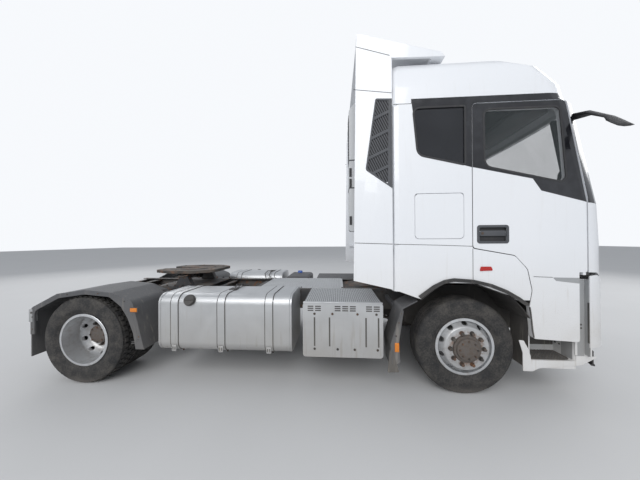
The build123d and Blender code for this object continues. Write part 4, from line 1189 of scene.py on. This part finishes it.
# Front corner, entry step and lower edge of the bumper
for side, end in SIDES:
    facing = outward(side)
    panel("corner_strip_" + end, side, rect(1044, 455, 1128, 1222), 1186.3, 1188, SILVER_GREY,
          "chassis")
    panel("corner_flange_" + end, side,
          [(1039, 462, 0), (1060, 462, 0), (1060, 1150, 0), (1039, 1180, 0)], 1188.2, 1191, WHITE,
          "chassis")
    panel("corner_slot_" + end, side, rect(1127, 600, 1141, 1000, 4), 1222, 1238, PLASTIC,
          "chassis")
    if side < 0:
        # Black discs as painted shade where the corner panel has holes.
        repeat("corner_holes", "button", (20, 20, 1.6),
               [(1050, -1190.6, z, *facing) for z in (990, 812, 697, 638)]
               + [(1098, -1187.6, z, *facing) for z in (770, 735)], PLASTIC, "chassis")
    else:
        trim = [(1046, 470, 0), (1126, 470, 0), (1126, 1250, 10), (1086, 1240, 10),
                (1052, 1190, 10)]
        solid("corner_trim", "side", trim, 1192, 1242, WHITE, "chassis", 6)
    lid = [(1132, side * 1176, 0), (1238, side * 1176, 0), (1238, side * 1200, 0),
           (1215, side * 1212, 0), (1170, side * 1227, 0), (1132, side * 1231, 0)]
    plate("wing_lid_" + end, "top", lid, 1243, 1250, PLASTIC, "chassis")
    foot = [(512, 600, 4), (556, 596, 12), (596, 520, 20), (621, 440, 20), (624, 400, 8),
            (1050, 400, 0), (1050, 449, 0), (1256, 449, 4), (1100, 362, 20), (700, 320, 60),
            (640, 288, 20), (549, 288, 8), (548, 470, 30)]
    panel("step_cover_" + end, side, foot, 1181.4, 1187, WHITE, "chassis", (), 1.0)
    # A black plate at the back of the step opening: painted shade for the dark inside of the step.
    low, high = span(side, 941.5, 943)
    plate("step_opening_" + end, "side",
          [(620, 464, 10), (1036, 464, 6), (1036, 684, 0), (620, 684, 0)], low, high, PLASTIC,
          "chassis")
    plate("step_panel_" + end, "front", rect(side * 1045, 408, side * 1165, 640, 4), 1034.5,
          1037.5, SILVER_GREY, "chassis")
    bolts = [(1038, side * 1020, z, *TO_REAR) for z in (505, 555, 605)]
    bolts.append((1038, side * 970, 505, *TO_REAR))
    repeat("step_bolts_" + end, "bolt", (18, 18, 8), bolts, IRON, "chassis")
    plate("step_rear_liner_" + end, "front",
          [(side * 925, 300, 10), (side * 1181, 300, 10), (side * 1181, 1150, 0),
           (side * 925, 1150, 0)], 602.5, 605.5, PLASTIC, "chassis")
    plate("wing_back_" + end, "front", rect(side * 1189, 472, side * 1240, 1222), 1130.5, 1134.5,
          SILVER_GREY, "chassis")
    box("hinge_cover_" + end, (1096, 1127.5), span(side, 1199.5, 1244), (1273, 1299.8), PLASTIC,
        "cab", 2)
    for z in (400, 700, 1000):
        rows = [(624, side * 948, 8), (1034, side * 948, 8), (1034, side * 1150, 60),
                (960, side * 1168, 30), (624, side * 1168, 8)]
        plate(f"step_tread_{z}_{end}", "top", rows, z + 0.5, z + 5, PLASTIC, "chassis")
        teeth = [(x, side * y, z + 7, 0, 0, 0) for x in range(650, 1010, 30)
                 for y in range(965, 1150, 30)]
        repeat(f"step_teeth_{z}_{end}", "button", (12, 12, 5), teeth, GREY, "chassis")

# Rear guard: lip, ridges and lamps
lip_outer = [(-645, 560), (-645, 860), (-310, 1030), (30, 1077), (350, 1050), (610, 950),
             (750, 420)]
lip_inner = [(652, 420), (622, 600), (560, 760), (478, 895), (335, 1004), (28, 1030), (-292, 984),
             (-598, 830), (-598, 560)]
for side, end in SIDES:
    facing = outward(side)
    rows = [(rear_x + x, z, 70 if z > 600 else 0) for x, z in lip_outer + lip_inner]
    panel("rear_guard_lip_" + end, side, rows, 1212, 1229, GREY, "chassis", (), 2.0)
    for k, inset in enumerate((16, 34)):
        route = grown([(rear_x + x, z, 90) for x, z in lip_outer[1:]], -inset)
        points = rounded(route)[3:]
        tube(f"guard_ridge_{k}_{end}", [(p.x, side * 1229, p.y) for p in points], 4, GREY,
             "chassis", 8)
    box("guard_lamp_" + end, (-3655, -3575), span(side, 1229, 1243), (838, 882), AMBER, "chassis",
        5)
    box("guard_lamp_case_" + end, (-3662, -3568), span(side, 1226, 1236), (832, 888), PLASTIC,
        "chassis", 4)
    box("guard_rear_lamp_" + end, (-4915, -4868), span(side, 1180, 1234), (700, 850), SILVER_GREY,
        "chassis", 5)
    # A black disc as painted shade where the rear lamp has a hole.
    repeat("guard_rear_hole_" + end, "button", (26, 26, 2), [(-4880, side * 1234, 810, *facing)],
           PLASTIC, "chassis")
    bolts = [(rear_x + x, side * 1228, z, *facing)
             for x, z in ((-622, 620), (-622, 760), (-180, 1026), (200, 1040), (520, 955),
                          (690, 560))]
    repeat("guard_bolts_" + end, "bolt", (18, 18, 8), bolts, IRON, "chassis")
    for x, rise in ((-560, 905), (560, 980)):
        route = [(rear_x + x, side * 440, rise - 60), (rear_x + x, side * 700, rise - 20)]
        tube(f"guard_arm_{x}_{end}", route, 21, CHASSIS, "chassis", 12)

# Front guard: lamp, bead and bolts
for side, end in SIDES:
    facing = outward(side)
    box("front_guard_reflector_" + end, (-735, -690), span(side, 1204, 1212), (455, 550), AMBER,
        "chassis", 3)
    bead = [(-757, 330), (-772, 470), (-775, 530), (-715, 720), (-655, 905)]
    tube("front_guard_bead_" + end, [(x, side * 1206, z) for x, z in bead], 5, GREY, "chassis", 8)
    flap_rows = [(-806, 238, 6), (-690, 244, 6), (-744, 420, 0), (-752, 470, 0), (-786, 470, 0)]
    panel("front_flap_lower_" + end, side, flap_rows, 1192, 1206, PLASTIC, "chassis", (), 1.0)
    repeat("front_guard_bolts_" + end, "bolt", (18, 18, 8),
           [(-720, side * 1205, 620, *facing), (-690, side * 1205, 760, *facing),
            (-664, side * 1205, 860, *facing)], IRON, "chassis")

# Fuel tanks: strap edges, tabs, welds, caps and pipes
tank_tables = [
    # side, ends of the tank, starts of the straps, name
    (-1, (-3350, -1830), (-3200, -2660, -2120), "right"),
    (1, (-3350, -2350), (-3200, -2580), "left"),
]
for side, (x0, x1), starts, end in tank_tables:
    facing = outward(side)
    edges, tabs, welds = [], [], []
    tank_section = [(1200, 390, 110), (1200, 1030, 110), (580, 1030, 110), (580, 390, 110)]
    for x in starts:
        for place in (x - 4, x + 84):
            loop = [(place, side * p.x, p.y) for p in rounded(grown(tank_section, 3), 8)]
            edges.append(tube(f"edge_{place}", loop, 4.5, PLASTIC, "chassis", 6, True))
        tabs.append(box(f"tab_{x}", (x + 14, x + 66), span(side, 1205.6, 1211), (402, 470),
                        ALUMINIUM, "chassis", 2))
    for x in (x0 + 22, x1 - 22):
        loop = [(x, side * p.x, p.y) for p in rounded(grown(tank_section, 1), 8)]
        welds.append(tube(f"weld_{x}", loop, 5, ALUMINIUM, "chassis", 6, True))
    joined("strap_edges_" + end, edges)
    joined("strap_tabs_" + end, tabs)
    joined("tank_welds_" + end, welds)
    # Slots in the strap tabs drawn as thin black blocks: painted shade standing in for the
    # openings.
    repeat("strap_slots_" + end, "block", (10, 34, 2),
           [(x + dx, side * 1212, 436, *facing) for x in starts for dx in (28, 52)], PLASTIC,
           "chassis")
    repeat("strap_bolts_" + end, "bolt", (28, 28, 40),
           [(x + 40, side * 1040, 376, *DOWN) for x in starts], IRON, "chassis")
    lean = math.radians(24)
    reach = [(x0 + 370, side * (1090 + math.cos(lean) * r), 920 + math.sin(lean) * r)
             for r in (112, 124, 138, 146)]
    cap = [tube("cap_collar", reach[:2], 64, PLASTIC, "chassis", 32),
           tube("cap_top", reach[1:], 56, PLASTIC, "chassis", 32),
           tube("cap_grip", [tuple(Vector(reach[3]) + Vector((-44, 0, 0))),
                             tuple(Vector(reach[3]) + Vector((44, 0, 0)))], 9, PLASTIC, "chassis",
                10)]
    joined("filler_cap_" + end, cap)
    box("tank_gauge_" + end, (x0 + 700, x0 + 790), span(side, 850, 940), (1030, 1046), PLASTIC,
        "chassis", 5)
    lines = [[(x0 + 740, side * 850, 1040), (x0 + 700, side * 700, 1058),
              (x0 + 700, side * 520, 1030), (x0 + 760, side * 445, 900)]]
    lines.append([(x0 + 770, side * 860, 1040), (x0 + 780, side * 720, 1064),
                  (x0 + 780, side * 500, 1010), (x0 + 900, side * 445, 880)])
    joined("fuel_pipes_" + end, [tube("line", line, 7, PLASTIC, "chassis", 8) for line in lines])

# Step box: perforated top with its holes painted dark as shade, slots, vents as black patches of
# painted shade, and bolts
plate("step_box_top", "top", rect(-1690, -1190, -868, -470, 20), 963, 965.5, PERFORATED, "chassis")
slots = [(x, -1213.2, 653, *TO_RIGHT) for x in (-1578, -1417, -1032, -902)]
repeat("step_box_slots", "block", (16, 308, 2), slots, PLASTIC, "chassis")
# Vents drawn as thin black blocks: painted shade standing in for the openings.
vent_places = (*range(-1330, -1100, 80), -1620, -1540, -1000, -920)
vent_shades = [(x, -1213.2, z, *TO_RIGHT) for x in vent_places for z in range(880, 945, 22)]
repeat("step_box_vents", "block", (62, 12, 2), vent_shades, PLASTIC, "chassis")
bolts = [(x, -1213, 844, *TO_RIGHT) for x in (-1578, -1386, -1121, -923)]
bolts += [(x, -1213, 470, *TO_RIGHT) for x in (-1578, -1332, -1152, -912)]
repeat("step_box_bolts", "bolt", (26, 26, 10), bolts, IRON, "chassis")
solid("step_box_rail", "front", rect(-1218, 955, -1180, 969, 3), -1700, -858, ALUMINIUM, "chassis",
      2)

# Boxes on the left: battery cover with clasps and grip, urea tank with its blue cap
solid("battery_cover", "front", [(436, 900, 4), (1196, 900, 10), (1196, 950, 20), (436, 950, 4)],
      -1706, -994, GREY, "chassis", 4)
repeat("battery_clasps", "block", (50, 90, 12), [(x, 1194, 880, *TO_LEFT) for x in (-1600, -1100)],
       IRON, "chassis")
repeat("battery_ribs", "block", (12, 400, 8),
       [(x, 1191, 650, *TO_LEFT) for x in range(-1640, -1040, 85)], GREY, "chassis")
tube("urea_cap", [(-2080, 1020, 970), (-2080, 1040, 1012)], 48, BLUE, "chassis", 28)
repeat("urea_bands", "block", (44, 8, 470), [(x, 1151, 715, 0, 0, 0) for x in (-2180, -1920)],
       IRON, "chassis")

# Frame: rivets, U bolts, springs' plates, brake chambers, dampers and pipes
rivets = [(x, side * 430, z, *outward(side)) for side in (1, -1) for x in range(-4780, 1100, 140)
          for z in (720, 918)]
repeat("frame_rivets", "bolt", (24, 24, 9), rivets, IRON, "chassis")
clamps, plates = [], []
for side in (1, -1):
    for x, y, low, high in ((0, 385, 330, 520), (rear_x, 500, 495, 696)):
        for dx in (-38, 38):
            route = [(x + dx, side * (y - 50), low - 24), (x + dx, side * (y - 50), high + 6),
                     (x + dx, side * y, high + 14), (x + dx, side * (y + 50), high + 6),
                     (x + dx, side * (y + 50), low - 24)]
            clamps.append(tube(f"clamp_{x}_{dx}_{side}", route, 9, IRON, "chassis", 8))
        plates.append(box(f"plate_{x}_{side}", (x - 62, x + 62), span(side, y - 66, y + 66),
                          (high - 8, high + 6), IRON, "chassis", 3))
joined("spring_clamps", clamps)
joined("spring_plates", plates)
chambers, dampers = [], []
for side in (1, -1):
    chambers.append(tube(f"chamber_{side}",
                         [(-4080, side * 345, 600), (-4070, side * 345, 600),
                          (-4000, side * 345, 602), (-3890, side * 345, 604)], 66, CHASSIS,
                         "chassis", 24))
    chambers.append(tube(f"chamber_band_{side}",
                         [(-4010, side * 345, 602), (-3985, side * 345, 602)], 73, CHASSIS,
                         "chassis", 24))
    dampers.append(tube(f"damper_low_{side}", [(130, side * 478, 410), (150, side * 478, 620)], 33,
                        CHASSIS, "chassis", 16))
    dampers.append(tube(f"damper_top_{side}", [(146, side * 478, 580), (172, side * 478, 800)], 40,
                        CHASSIS, "chassis", 16))
    dampers.append(tube(f"damper_pin_{side}", [(172, side * 425, 790), (172, side * 492, 790)], 14,
                        CHASSIS, "chassis", 10))
joined("brake_chambers", chambers)
joined("front_dampers", dampers)
pipes = []
for k, (y, z) in enumerate(((404, 748), (404, 765), (404, 782), (-404, 748), (-404, 770))):
    pipes.append(tube(f"pipe_{k}", [(-4560, y, z), (-2400, y, z), (-2380, y, z + 4),
                                    (-1220, y, z + 4)], 6, PLASTIC, "chassis", 8))
joined("frame_pipes", pipes)
repeat("pipe_clips", "block", (20, 26, 74),
       [(x, y, 764, 0, 0, 0) for x in range(-4440, -1260, 330) for y in (404, -404)], IRON,
       "chassis")

# Deck plate with its tread pattern, coupling details and hose sockets
tread = []
for i, x in enumerate(range(-2410, -1270, 38)):
    for j, y in enumerate(range(-405, 410, 38)):
        tread.append((x, y, 968.6, 0, 0, 45 if (i + j) % 2 else -45))
repeat("deck_tread", "block", (27, 6, 2.4), tread, ALUMINIUM, "chassis")
repeat("deck_bolts", "bolt", (26, 26, 10),
       [(x, y, 968, *UP) for x in (-2425, -1840, -1265) for y in (-415, 415)], IRON, "chassis")
repeat("coupling_base_bolts", "bolt", (32, 32, 18),
       [(x, y, 974, *UP) for x in range(-3950, -3220, 115) for y in (-405, 405)], IRON, "chassis")
coupling_x = -3600
tube("coupling_handle", [(-3520, -330, 1140), (-3500, -450, 1132), (-3500, -540, 1128),
                         (-3560, -560, 1128)], 11, IRON, "coupling_plate", 10)
grooves = []
for side in (1, -1):
    arc = [(coupling_x + 230 * math.cos(a / 10), side * (60 + 230 * abs(math.sin(a / 10))),
            1200.6) for a in range(2, 24, 2)]
    grooves.append(tube(f"groove_{side}", arc, 6, RUBBER, "coupling_plate", 6))
joined("coupling_grease", grooves)
bolts = [(coupling_x + x, way * y, 1200, *UP) for x, y in ((330, 200), (-120, 380), (-380, 260))
         for way in (1, -1)]
repeat("coupling_rim_bolts", "bolt", (30, 30, 8), bolts, IRON, "coupling_plate")
box("hose_bracket", (-800, -768), (-300, 300), (1330, 1420), CHASSIS, "cab", 4)
for y, finish, name in ((-200, RED, "red"), (-70, AMBER, "yellow"), (70, PLASTIC, "black"),
                        (200, PLASTIC, "grey")):
    tube("hose_socket_" + name, [(-800, y, 1375), (-850, y, 1368), (-862, y, 1366)], 30, finish,
         "cab", 20)

# Rear: lamps in sections, blank plate, bar ends
for side, end in SIDES:
    for name, near, far, finish in (("turn", 724, 846, AMBER), ("stop", 852, 1026, RED),
                                    ("back", 1032, 1116, LAMP)):
        lamp = box(f"tail_{name}_{end}", (-4940, -4915), span(side, near, far), (696, 814), finish,
                   "chassis", 6)
        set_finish(lamp, "red_lens")
    case = box("tail_case_" + end, (-4932, -4895.5), span(side, 720, 1120), (690, 820), PLASTIC,
               "chassis", 4)
    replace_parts(case, "tail_lamps")
box("rear_plate_blank", (-4884.5, -4880.5), (-260, 260), (695, 785), WHITE, "chassis", 2)
repeat("rear_bar_bolts", "bolt", (26, 26, 12),
       [(-4880, y, 740, *TO_REAR) for y in (-560, -480, -330, 330, 480, 560)], IRON, "chassis")


# Front: apron under the bumper, its grille, fog lamps, wipers and blank plate
def front_line(inset):
    """Points round the bumper's outer face, from the right side over the nose to the left."""
    radius = 250 - inset
    angles = [math.radians(a) for a in range(57, 90, 11)]
    corner = [(1122 + radius * math.sin(a), 995 + radius * math.cos(a)) for a in angles]
    middle = [(nose_x(y, 1000) + 12 - inset, y) for y in range(900, -901, -150)]
    return [(x, -y) for x, y in corner + middle] + [(x, y) for x, y in reversed(corner)]


def wall(name, inset, depth, low, high):
    """A band of the apron that follows the bumper's face."""
    outer, inner = front_line(inset), front_line(inset + depth)
    count = len(outer)
    rings = [[P(x, y, low) for x, y in outer], [P(x, y, high) for x, y in outer],
             [P(x, y, high) for x, y in inner], [P(x, y, low) for x, y in inner]]
    verts = [point for ring in rings for point in ring]
    faces = []
    for k in range(4):
        a, b = k * count, ((k + 1) % 4) * count
        faces += [[a + i, a + i + 1, b + i + 1, b + i] for i in range(count - 1)]
    faces += [[0, count, 2 * count, 3 * count],
              [count - 1, 2 * count - 1, 3 * count - 1, 4 * count - 1]]
    return make(name, verts, faces, APRON, "chassis")


wall("front_apron", 45, 10, 335, 470)
wall("front_lip", 36, 28, 318, 336)
for z in (556, 592, 628, 664):
    for side, end in SIDES:
        low, high = span(side, 210, 560 + (z - 560) * 0.3)
        skin(f"bumper_slot_{z}_{end}", "front_bumper",
             [(low, z, high, z), (high, z, high, z + 24), (high, z + 24, low, z + 24),
              (low, z + 24, low, z)], PLASTIC, "chassis", lift=0.8, plane="front", shift=12)
lamps = []
for side in (1, -1):
    for y in (785, 900, 1000):
        x = nose_x(y, 830) + 12
        lamps.append((x - 4, side * y, 826, *TO_FRONT))
repeat("lamp_rings", "button", (92, 92, 10), lamps, PLASTIC, "chassis")
repeat("lamp_lenses", "button", (74, 74, 12), lamps, LAMP, "chassis")
repeat("fog_lamps", "block", (8, 190, 70),
       [(nose_x(860, 500) + 4, side * 860, 520, 0, 0, side * 8) for side in (1, -1)], LAMP,
       "chassis")
box("front_plate_blank", (1408, 1416.8), (-230, 230), (1115, 1235), WHITE, "front_flap", 2)
wipers = []
for y in (-900, -60, 560):
    sweep = 560 if y < 500 else 480
    route = [(nose_x(y + k * sweep / 8, 2062 + k * 3) + 14, y + k * sweep / 8, 2062 + k * 3)
             for k in range(9)]
    wipers.append(tube(f"blade_{y}", route, 7, PLASTIC, "cab", 8))
    arm = [(nose_x(y, 1955) + 12, y, 1955), (nose_x(y, 1975) + 20, y + 30, 1975),
           (nose_x(y + sweep / 2, 2074) + 24, y + sweep / 2, 2074)]
    wipers.append(tube(f"arm_{y}", arm, 8, PLASTIC, "cab", 8))
joined("wipers", wipers)
repeat("roof_lamps", "block", (30, 120, 26),
       [(nose_x(y, 3160) - 6, y, 3160, 0, 0, 0) for y in (-900, -300, 300, 900)], AMBER, "cab")

# Air intake: louvres, latches and joint bands; ribs on the cab's rear wall
repeat("intake_louvres", "block", (6, 200, 16),
       [(-1190.5, -940, z, 0, 0, 0) for z in range(2560, 3060, 34)], PLASTIC, "cab")
repeat("intake_latches", "block", (26, 8, 96),
       [(-1176, y, z, 0, 0, 0) for y in (-1062, -818) for z in (2390, 2270, 1850)], PLASTIC, "cab")
for z in (2210, 2520):
    solid(f"intake_band_{z}", "top", rect(-1194, -1064, -757, -816, 6), z, z + 14, GREY, "cab", 3)
repeat("rear_wall_ribs", "block", (14, 36, 1500),
       [(-753, y, 2150, 0, 0, 0) for y in (-600, -300, 0, 300, 600, 900)], WHITE, "cab")

# Inside the cab: dashboard details, steering wheel, displays, door trims and floor mat
solid("binnacle", "side", [(905, 1985, 10), (960, 1990, 10), (985, 2120, 20), (925, 2110, 20)],
      400, 800, PLASTIC, "cab", 8)
solid("centre_display", "side", [(895, 1960, 6), (915, 1955, 6), (950, 2100, 6), (930, 2105, 6)],
      120, 360, BLACK, "cab", 5)
repeat("dash_vents", "block", (30, 130, 60),
       [(920, y, 1930, 0, 20, 0) for y in (-900, -400, 0, 980)], PLASTIC, "cab")
repeat("dash_knobs", "button", (34, 34, 26),
       [(938, y, 1840, *TO_REAR) for y in (60, 130, 200, 270)], PLASTIC, "cab")
solid("dash_top_pad", "side", [(1000, 2084, 6), (1220, 2056, 6), (1220, 2066, 6), (1000, 2096, 6)],
      -1080, 1080, PLASTIC, "cab", 4)
centre = Vector((760, 600, 2020))
normal = Vector((250, 0, -230)).normalized()
over = normal.cross(Vector((0, 1, 0)))
ring = []
for k in range(40):
    a = 2 * math.pi * k / 40
    ring.append(tuple(centre + Vector((0, 1, 0)) * 215 * math.cos(a) + over * 215 * math.sin(a)))
grip = [tube("grip", ring, 14, PLASTIC, "cab", 12, True)]
for a in (0.15, math.pi - 0.15, 1.5 * math.pi):
    tip = centre + Vector((0, 1, 0)) * 210 * math.cos(a) + over * 210 * math.sin(a)
    grip.append(tube("spoke", [tuple(centre), tuple(tip)], 15, PLASTIC, "cab", 10))
grip.append(tube("boss", [tuple(centre - normal * 26), tuple(centre - normal * 10),
                          tuple(centre + normal * 24)], 62, PLASTIC, "cab", 24))
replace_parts(joined("round_steering_wheel", grip), "steering_wheel")
for side, end in SIDES:
    door = "door_" + end
    low, high = span(side, 540, 544)
    # A black plate on each side under the cab: painted shade that hides the view through under the
    # truck.
    shade_wall = [(-470, 560, 30), (-300, 500, 30), (1090, 500, 20), (1090, 1040, 20),
              (-300, 1040, 60), (-470, 900, 60)]
    plate("splash_wall_" + end, "side", shade_wall, low, high, PLASTIC, "chassis")
    panel("door_trim_" + end, side, [(62, 1590, 20), (440, 1500, 60), (580, 1420, 60),
                                     (1020, 1400, 30), (1020, 2080, 60), (880, 2140, 60),
                                     (190, 2310, 60), (62, 2330, 20)], 1186, 1194.6, TRIM, door,
          (), 2.0)
    box("door_armrest_" + end, (260, 760), span(side, 1118, 1188), (1880, 1935), TRIM, door, 16)
    box("door_pocket_" + end, (240, 900), span(side, 1140, 1188), (1560, 1690), TRIM, door, 12)
    panel("pillar_display_" + end, side,
          [(1000, 2330, 16), (1062, 2330, 16), (948, 2860, 16), (900, 2860, 16)], 1090, 1112,
          PLASTIC, "cab", (), 2.0)
    repeat("pillar_unit_" + end, "button", (120, 200, 60),
           [(1010, side * 1112, 2250, *outward(side))], PLASTIC, "cab")
box("floor_mat", (470, 900), (-1100, 1100), (1285.5, 1296), RUBBER, "cab", 3)
box("overhead_shelf", (560, 900), (-1090, 1090), (2960, 3010), TRIM, "cab", 14)
box("overhead_lockers", (540, 800), (-1060, 1060), (3010, 3300), TRIM, "cab", 20)


# Cushions, swollen by a cloth simulation
def cushion(name, x, y, z, finish, size, cap, channels=()):
    """A padded block whose sides pull in between its corners, with sewn channels across it."""
    low, high = P(x[0], y[0], z[0]), P(x[1], y[1], z[1])
    form = bmesh.new()
    bmesh.ops.create_cube(form, size=1.0)
    middle, reach = (low + high) / 2, (high - low) / 2
    for vert in form.verts:
        vert.co = middle + Vector(2 * vert.co[i] * (reach[i] - 0.012) for i in range(3))
    bmesh.ops.bevel(form, geom=form.edges[:], offset=0.028, segments=4, profile=0.5, affect="EDGES")
    mesh = bpy.data.meshes.new(name)
    form.to_mesh(mesh)
    form.free()
    piece = added(name, mesh)
    remesh = piece.modifiers.new("Even", "REMESH")
    remesh.mode = "VOXEL"
    remesh.voxel_size = size
    flatten(piece)
    start = [v.co.copy() for v in piece.data.vertices]
    cloth = piece.modifiers.new("Fill", "CLOTH")
    cloth.settings.quality = 4
    cloth.settings.mass = 0.4
    cloth.settings.tension_stiffness = 8
    cloth.settings.compression_stiffness = 8
    cloth.settings.use_pressure = True
    cloth.settings.uniform_pressure_force = 4
    cloth.settings.effector_weights.gravity = 0
    cloth.point_cache.frame_start = 1
    cloth.point_cache.frame_end = 20
    for step in range(1, 21):
        bpy.context.scene.frame_set(step)
    flatten(piece)
    bpy.context.scene.frame_set(1)
    for vert, place in zip(piece.data.vertices, start):
        moved = vert.co - place
        if moved.length > cap:
            vert.co = place + moved.normalized() * cap
        for i in range(3):
            vert.co[i] = min(max(vert.co[i], low[i]), high[i])
    calm = piece.modifiers.new("Calm", "SMOOTH")
    calm.factor, calm.iterations = 0.5, 8
    flatten(piece)
    thin = min(range(3), key=lambda i: reach[i])
    for axis, place, depth in channels:
        for vert in piece.data.vertices:
            wide = high[axis] - low[axis]
            near = abs((vert.co[axis] - low[axis]) / wide - place) * wide
            edge = abs(vert.co[thin] - middle[thin]) / reach[thin]
            if near < 0.022 and edge > 0.4:
                pull = depth * math.cos(near / 0.022 * math.pi / 2) ** 2
                vert.co[thin] -= math.copysign(pull, vert.co[thin] - middle[thin])
    smooth = piece.modifiers.new("Round", "SUBSURF")
    smooth.levels = smooth.render_levels = 1
    flatten(piece)
    paint(piece.data, finish.material)
    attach(piece, "cab")
    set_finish(piece, finish.slot)
    return piece


for y, end in ((620, "left"), (-620, "right")):
    lines = [(1, 0.22, 0.008), (1, 0.78, 0.008), (0, 0.36, 0.006), (0, 0.7, 0.006)]
    base = cushion("seat_base_cushion_" + end, (-10, 540), (y - 255, y + 255), (1611, 1750), CLOTH,
                   0.011, 0.026, lines)
    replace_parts(base, "seats")
    lines = [(1, 0.22, 0.008), (1, 0.78, 0.008), (2, 0.3, 0.006), (2, 0.55, 0.006), (2, 0.8, 0.006)]
    cushion("seat_back_cushion_" + end, (-150, -11), (y - 245, y + 245), (1640, 2330), CLOTH,
            0.012, 0.026, lines)
    cushion("headrest_" + end, (-140, -30), (y - 150, y + 150), (2331, 2560), CLOTH, 0.010, 0.02,
            [(2, 0.5, 0.004)])
lines = [(1, k / 9, 0.010) for k in range(1, 9)]
mattress = cushion("bunk_mattress", (-699, -180), (-1185, 1185), (2141, 2290), BEDDING, 0.016,
                   0.022, lines)
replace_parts(mattress, "bunk")


def stage_floor():
    mesh = bpy.data.meshes.new("floor")
    reach = 60
    mesh.from_pydata([(-reach, -reach, 0), (reach, -reach, 0), (reach, reach, 0),
                      (-reach, reach, 0)], [], [(0, 1, 2, 3)])
    f = Finish("floor_paint", None)
    f.set(Base_Color=f.mix(f.noise(0.6, 4.0), (0.55, 0.55, 0.55), (0.60, 0.60, 0.60)),
          Roughness=0.9)
    mesh.materials.append(f.material)
    floor = added("floor", mesh)
    floor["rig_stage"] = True


stage_floor()


def soft_light(name, place, target, size, power):
    data = bpy.data.lights.new(name, "AREA")
    data.shape = "RECTANGLE"
    data.size, data.size_y = size
    data.energy = power
    light = added(name, data)
    light.location = place
    light.rotation_mode = "QUATERNION"
    light.rotation_quaternion = (Vector(target) - Vector(place)).to_track_quat("-Z", "Y")


soft_light("side_light", (-2, -12, 9), (0, 0, 1.5), (12, 8), 1150)
soft_light("front_light", (12, 4, 8), (1, 0, 1.5), (9, 7), 520)
soft_light("rear_light", (-12, 7, 8), (-1, 0, 1.5), (9, 7), 420)

world = bpy.data.worlds.new("studio")
bpy.context.scene.world = world
world.use_nodes = True
sky = world.node_tree
ground = sky.nodes["Background"]
ground.inputs["Color"].default_value = (0.86, 0.90, 0.96, 1)
ground.inputs["Strength"].default_value = 0.62
backdrop = sky.nodes.new("ShaderNodeBackground")
backdrop.inputs["Color"].default_value = (0.93, 0.95, 0.98, 1)
rays = sky.nodes.new("ShaderNodeLightPath")
either = sky.nodes.new("ShaderNodeMath")
either.operation = "MAXIMUM"
both = sky.nodes.new("ShaderNodeMixShader")
sky.links.new(rays.outputs["Is Camera Ray"], either.inputs[0])
sky.links.new(rays.outputs["Is Transmission Ray"], either.inputs[1])
sky.links.new(either.outputs["Value"], both.inputs["Fac"])
sky.links.new(ground.outputs["Background"], both.inputs[1])
sky.links.new(backdrop.outputs["Background"], both.inputs[2])
sky.links.new(both.outputs["Shader"], sky.nodes["World Output"].inputs["Surface"])
bpy.context.scene.view_settings.view_transform = "Standard"

low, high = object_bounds()
